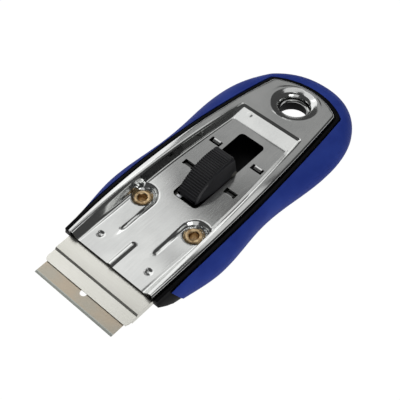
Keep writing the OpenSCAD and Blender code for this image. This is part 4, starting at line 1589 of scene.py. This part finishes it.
@dataclass
class ThumbSlide:
    """Black slide: an arched cap with leaning flanks and rounded ribs across its top."""

    bench: Bench
    front: float = 40.2
    base_rear: float = 60.0
    rear: float = 62.6
    low: float = 9.9
    overhang: float = 11.4
    arch_at: float = 56.328
    arch_z: float = -3.0
    arch_radius: float = 22.0
    top_half: float = 4.25
    cove: float = 0.25
    cove_run: Flat = (0.25, 0.6)
    ledge: float = 0.4
    ledge_drop: float = 1.25
    ledge_run: Flat = (0.1, 0.35)
    foot_half: float = 5.85
    flank_drop: float = 7.6
    flank_power: float = 0.85
    corner: float = 0.8
    corner_cut: float = 0.9
    rib_count: int = 20
    rib_pitch: float = 1.04
    rib_lead: float = 1.5
    rib_radius: float = 0.37
    rib_run: Flat = (1.0, 0.4)
    rib_end: Flat = (0.5, 0.1)
    rib_power: float = 14.0
    rib_taper: float = 0.8
    rear_drop: float = 0.45
    rear_run: float = 1.1
    wall: float = 0.68
    edge: float = 0.28
    edge_degrees: float = 38.0
    notch_half: float = 4.45
    notch_z: float = 11.25
    station_steps: tuple[int, int] = (60, 12)
    roof_steps: int = 6
    over_ledge: Flat = (0.12, 0.45)
    ledge_shares: Flat = (0.75, 1.0)
    ledge_share: float = 0.5
    under_ledge: Flat = (0.15, 0.4)
    flank_shares: tuple[float, ...] = (0.2, 0.45, 0.7, 1.0)
    least_step: float = 0.002
    rib_points: int = 13
    rib_sides: int = 12
    edge_strips: int = 3
    cap_crease: float = 40.0
    rib_crease: float = 50.0

    @property
    def first_turn(self) -> float:
        """Angle of the arch at its front, in radians."""
        return math.asin((self.front - self.arch_at) / self.arch_radius)

    def _half(self, d: float, z: float) -> float:
        """Half width of the flank at a place, by its depth below the arch's top.

        Args:
            d: Distance behind the cover's front edge.
            z: Height above the back.

        Returns:
            Distance of the flank from the middle.
        """
        under = self.arch_radius - math.hypot(d - self.arch_at, z - self.arch_z)
        before, behind = self.ledge_run
        wide = self.top_half - self.cove * ease(under, *self.cove_run)
        wide += (self.cove + self.ledge) * ease(under, self.ledge_drop - before,
                                                self.ledge_drop + behind)
        lean = clamp((under - self.ledge_drop) / (self.flank_drop - self.ledge_drop))
        wide = mix(wide, self.foot_half, lean ** self.flank_power)
        past = max(self.front + self.corner - d, 0.0)
        if z < self.overhang:
            past = max(past, d - self.base_rear + self.corner)
        return wide - clamp(past, 0.0, self.corner) * self.corner_cut

    def _top(self, d: float) -> float:
        """Height of the arch: full at its smooth ends, and under the ribs between them.

        Args:
            d: Distance behind the cover's front edge.

        Returns:
            Height above the back.
        """
        turn = math.asin((d - self.arch_at) / self.arch_radius)
        along = (turn - self.first_turn) * self.arch_radius
        last = self.rib_lead + self.rib_count * self.rib_pitch
        ribbed = ease(along, *(self.rib_lead - run for run in self.rib_run))
        ribbed -= ease(along, last - self.rib_end[0], last + self.rib_end[1])
        round_off = self.rear_drop * ease(d, self.rear - self.rear_run, self.rear) ** 2
        radius = self.arch_radius - self.rib_radius * ribbed
        return self.arch_z + math.sqrt(radius ** 2 - (d - self.arch_at) ** 2) - round_off

    def _section(self, d: float) -> list[Point]:
        """Open section of the outer surface.

        Args:
            d: Distance behind the cover's front edge.

        Returns:
            Points up the left flank, over the top and down the right flank.
        """
        top = self._top(d)
        foot = self.low if d <= self.base_rear else self.overhang
        ledge = min(self.ledge_drop, self.ledge_share * (top - foot))
        down = [top - drop for drop in self.over_ledge]
        down += [top - share * ledge for share in self.ledge_shares]
        down += [top - ledge - drop for drop in self.under_ledge]
        down += [mix(down[-1], foot, share) for share in self.flank_shares]
        down = [max(z, foot + self.least_step * (len(down) - 1 - k)) for k, z in enumerate(down)]
        right = [(self._half(d, z), d, z) for z in down]
        roof = [(x, d, top) for x in spaced(-self.top_half, self.top_half, self.roof_steps)]
        return [*[(-x, d, z) for x, d, z in reversed(right)], *roof, *right]

    def _cap(self) -> bpy.types.Object:
        """Shell of the slide, open below, with a notch in front for the lock spring's finger.

        Returns:
            Open surface without thickness.
        """
        base, rear = self.station_steps
        stations = sorted({*spaced(self.front, self.base_rear, base),
                           *spaced(self.base_rear, self.rear, rear)})
        sections = [self._section(d) for d in stations]
        points, faces = lofted(sections, False)
        n, end = len(sections[0]), len(points)
        half = self.notch_half
        points += [(x, self.front, z) for x, z in ((-half, self.low), (-half, self.notch_z),
                                                   (half, self.notch_z), (half, self.low))]
        faces += [(*range(n - 1, -1, -1), *range(end, end + 4)), tuple(range(end - n, end))]
        return self.bench.mesh("ribbed_slide", points, faces)

    def _ribs(self) -> bpy.types.Object:
        """Rounded ribs along the arch.

        Returns:
            New object at the origin.
        """
        g = Shaper("slide_ribs")
        count = g.size("Count", self.rib_count, "NodeSocketInt")
        pitch = g.size("Pitch angle", self.rib_pitch / self.arch_radius)
        first = g.size("First angle", self.first_turn + self.rib_lead / self.arch_radius)
        radius = g.size("Arch radius", (self.arch_radius - self.rib_radius) * MM)
        bar = g.size("Rib radius", self.rib_radius * MM)
        half = g.size("Rib length", 2 * self.top_half * MM) * 0.5
        paint = g.size("Finish", self.bench.paints.material(SLIDE_FINISH), "NodeSocketMaterial")
        line = g.add("GeometryNodeCurvePrimitiveLine", inputs={
            "Start": g.triple(half * -1.0), "End": g.triple(half)})
        fine = g.add("GeometryNodeResampleCurve", inputs={
            "Curve": line, "Count": self.rib_points})
        along = g.add("GeometryNodeSplineParameter", output="Factor")
        off = (along * 2.0 - 1.0).math("ABSOLUTE")
        taper = (1.0 - off ** self.rib_power * self.rib_taper).math("SQRT")
        shaped = g.add("GeometryNodeSetCurveRadius", inputs={"Curve": fine, "Radius": taper})
        circle = g.add("GeometryNodeCurvePrimitiveCircle", {"mode": "RADIUS"}, {
            "Resolution": self.rib_sides, "Radius": bar})
        rib = g.add("GeometryNodeCurveToMesh", inputs={
            "Curve": shaped, "Profile Curve": circle, "Fill Caps": True})
        places = g.add("GeometryNodeMeshLine", inputs={"Count": count})
        angle = first + g.add("GeometryNodeInputIndex") * pitch
        centre = self.bench.to_frame((0.0, self.arch_at, self.arch_z))
        place = g.triple(0.0, radius * angle.math("SINE") + centre[1],
                         radius * angle.math("COSINE") + centre[2])
        moved = g.add("GeometryNodeSetPosition", inputs={"Geometry": places, "Position": place})
        rotate = g.add("FunctionNodeEulerToRotation", inputs={0: g.triple(angle * -1.0)})
        row = g.add("GeometryNodeInstanceOnPoints", inputs={
            "Points": moved, "Instance": rib, "Rotation": rotate})
        g.finish(row, paint)
        return g.bake("ribs")

    def build(self) -> None:
        """Builds and dresses the slide."""
        cap = self._cap()
        thicken(cap, self.wall)
        round_edges(cap, self.edge, self.edge_degrees, self.edge_strips)
        smooth(cap, self.cap_crease)
        ribs = self._ribs()
        smooth(ribs, self.rib_crease)
        join(cap, [ribs])
        self.bench.hand_over(cap, Body.SLIDE, SLIDE_FINISH, "thumb_slide")


# ---------------------------------------------------------------- small parts

@dataclass(frozen=True)
class SmallPart:
    """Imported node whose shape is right, shown as a copy with rounded edges."""

    node: str
    name: str
    body: Body
    finish: Finish
    bevel: float = 0.06
    degrees: float = 30.0
    moved: Flat | None = None


SMALL_PARTS: tuple[SmallPart, ...] = (
    SmallPart("blade_carrier", "clamp_carrier", Body.CARRIAGE, CARRIER_FINISH, 0.12, 12.0,
              moved=(-8.2, -7.65)),
    SmallPart("lower_jaw", "clamp_jaw", Body.CARRIAGE, CARRIER_FINISH, 0.08),
    SmallPart("jaw_rivets", "jaw_studs", Body.CARRIAGE, SPRING_FINISH),
    SmallPart("slide_saddle", "slide_guide", Body.CARRIAGE, SLIDE_FINISH),
    SmallPart("slide_pin", "cross_pin", Body.CARRIAGE, SPRING_FINISH, 0.1),
    SmallPart("lock_spring", "finger_spring", Body.CARRIAGE, SPRING_FINISH, 0.04),
    SmallPart("blade", "single_edge_blade", Body.BLADE, BLADE_FINISH, 0.0, 8.0),
    SmallPart("washer_left", "washer_under_left", Body.HANDLE, SPRING_FINISH),
    SmallPart("washer_right", "washer_under_right", Body.HANDLE, SPRING_FINISH),
    SmallPart("drag_spring_left", "drag_strip_left", Body.HANDLE, SPRING_FINISH, 0.0),
    SmallPart("drag_spring_right", "drag_strip_right", Body.HANDLE, SPRING_FINISH, 0.0),
)


# ---------------------------------------------------------------- studio

@dataclass(frozen=True)
class Lamp:
    """Soft area lamp that points at the origin of the frame."""

    name: str
    place: Point
    wide: float
    high: float
    watts: float
    turn: float = 0.0

    def build(self) -> None:
        """Adds the lamp."""
        data = bpy.data.lights.new(self.name, "AREA")
        data.shape = "RECTANGLE"
        data.size = self.wide
        data.size_y = self.high
        data.energy = self.watts
        lamp = stand(self.name, data)
        lamp.location = self.place
        faced = (-Vector(self.place)).to_track_quat("-Z", "Y").to_matrix()
        turned = faced @ Matrix.Rotation(math.radians(self.turn), 3, "Z")
        lamp.rotation_euler = turned.to_euler()


@dataclass
class Studio:
    """Pale floor, soft lamps and the camera at the photograph's view."""

    eye: Point = (0.13520, -0.15910, 0.26970)
    azimuth: float = 42.318
    elevation: float = 52.229
    lens: float = 77.949
    sensor: float = 36.0
    shift: Flat = (0.0168, -0.0207)
    clip_start: float = 0.01
    ambient: float = 0.1
    floor_half: float = 3.0
    floor_z: float = -1e-4
    floor_shade: float = 0.86
    glow: float = 1.1
    glow_seen: float = 0.9
    glow_mirrored: float = 0.6
    lamps: tuple[Lamp, ...] = (
        Lamp("panel_card", (-0.57, 0.224, 1.036), 0.612, 0.53, 1.04, 17.0),
        Lamp("rim_card", (-1.062, 0.332, 0.482), 0.75, 1.15, 3.66),
        Lamp("rear_card", (-0.46, 0.79, 0.78), 0.70, 0.53, 0.41),
        Lamp("crown_card", (-0.06, 0.51, 1.00), 0.50, 0.34, 0.45),
        Lamp("high_card", (0.12, 0.15, 1.10), 0.24, 0.24, 0.24),
        Lamp("fill", (0.72, -0.85, 0.68), 0.9, 0.9, 1.9),
        Lamp("side", (1.0, -0.35, 0.5), 0.5, 0.5, 2.4),
    )

    def build(self) -> None:
        """Builds floor, world, lamps and camera."""
        self._floor()
        self._world()
        for lamp in self.lamps:
            lamp.build()
        self._camera()
        bpy.context.scene.view_settings.view_transform = "Standard"

    def _floor(self) -> None:
        """Wide pale floor that keeps the tool's shadow."""
        data = bpy.data.meshes.new("floor")
        half, z = self.floor_half, self.floor_z
        data.from_pydata([(-half, -half, z), (half, -half, z), (half, half, z), (-half, half, z)],
                         [], [(0, 1, 2, 3)])
        floor = stand("floor", data)
        g = Paint("pale_floor")
        seen = g.add("ShaderNodeLightPath", output="Is Camera Ray")
        mirrored = g.add("ShaderNodeLightPath", output="Is Glossy Ray")
        card = g.add("ShaderNodeBsdfDiffuse", inputs={"Color": (*(self.floor_shade,) * 3, 1.0)})
        glow = g.add("ShaderNodeEmission", inputs={
            "Color": (1.0, 1.0, 1.0, 1.0), "Strength": self.glow})
        share = seen * self.glow_seen + mirrored * self.glow_mirrored
        mixed = g.add("ShaderNodeMixShader", inputs={0: share, 1: card, 2: glow})
        g.add("ShaderNodeOutputMaterial", inputs={"Surface": mixed})
        data.materials.append(g.material)
        floor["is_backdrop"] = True

    def _world(self) -> None:
        """World that is white to the camera, and a dim ambient light otherwise."""
        world = bpy.data.worlds.new("studio")
        world.use_nodes = True
        g = Graph(world.node_tree)
        camera = g.add("ShaderNodeLightPath", output="Is Camera Ray")
        through = g.add("ShaderNodeLightPath", output="Is Transmission Ray")
        seen = camera.math("MAXIMUM", camera, through)
        strength = g.add("ShaderNodeMapRange", inputs={
            "Value": seen, "To Min": self.ambient, "To Max": 1.0})
        back = g.add("ShaderNodeBackground", inputs={"Strength": strength})
        g.add("ShaderNodeOutputWorld", inputs={"Surface": back})
        bpy.context.scene.world = world

    def _camera(self) -> None:
        """Camera at the fitted place."""
        a, e = math.radians(self.azimuth), math.radians(self.elevation)
        back = Vector((math.sin(a) * math.cos(e), -math.cos(a) * math.cos(e), math.sin(e)))
        right = Vector((math.cos(a), math.sin(a), 0.0))
        data = bpy.data.cameras.new("view")
        data.lens = self.lens
        data.sensor_width = self.sensor
        data.shift_x, data.shift_y = self.shift
        data.clip_start = self.clip_start
        camera = stand("view", data)
        turned = Matrix((right, back.cross(right), back)).transposed().to_4x4()
        camera.matrix_world = Matrix.Translation(self.eye) @ turned
        bpy.context.scene.camera = camera


def corners(box: Any) -> list[list[float]]:
    """Corners of a box as plain lists."""
    return [[float(c) for c in corner] for corner in box]


def main() -> None:
    """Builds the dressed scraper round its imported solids."""
    logging.basicConfig(level=logging.INFO, format="%(name)s %(message)s")
    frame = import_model()
    cad = corners(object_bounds())
    bench = Bench(front_y=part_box("top_cover")[0].y)
    lines = Lines()
    nodes = frame["nodes"]
    PressedCover(bench, lines).build()
    MouldedTray(bench, lines, nodes["body_tray"]).build()
    SoftGrip(bench, lines).build()
    for side in (-1, 1):
        HollowRivet(bench, lines, side).build()
    ThumbSlide(bench).build()
    for part in SMALL_PARTS:
        copy = bench.copy_node(nodes[part.node], part.name, part.bevel, part.degrees, part.moved)
        bench.hand_over(copy, part.body, part.finish, part.node)
    Studio().build()
    {"cad": cad, "visual": corners(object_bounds())}


if __name__ == "__main__":
    main()
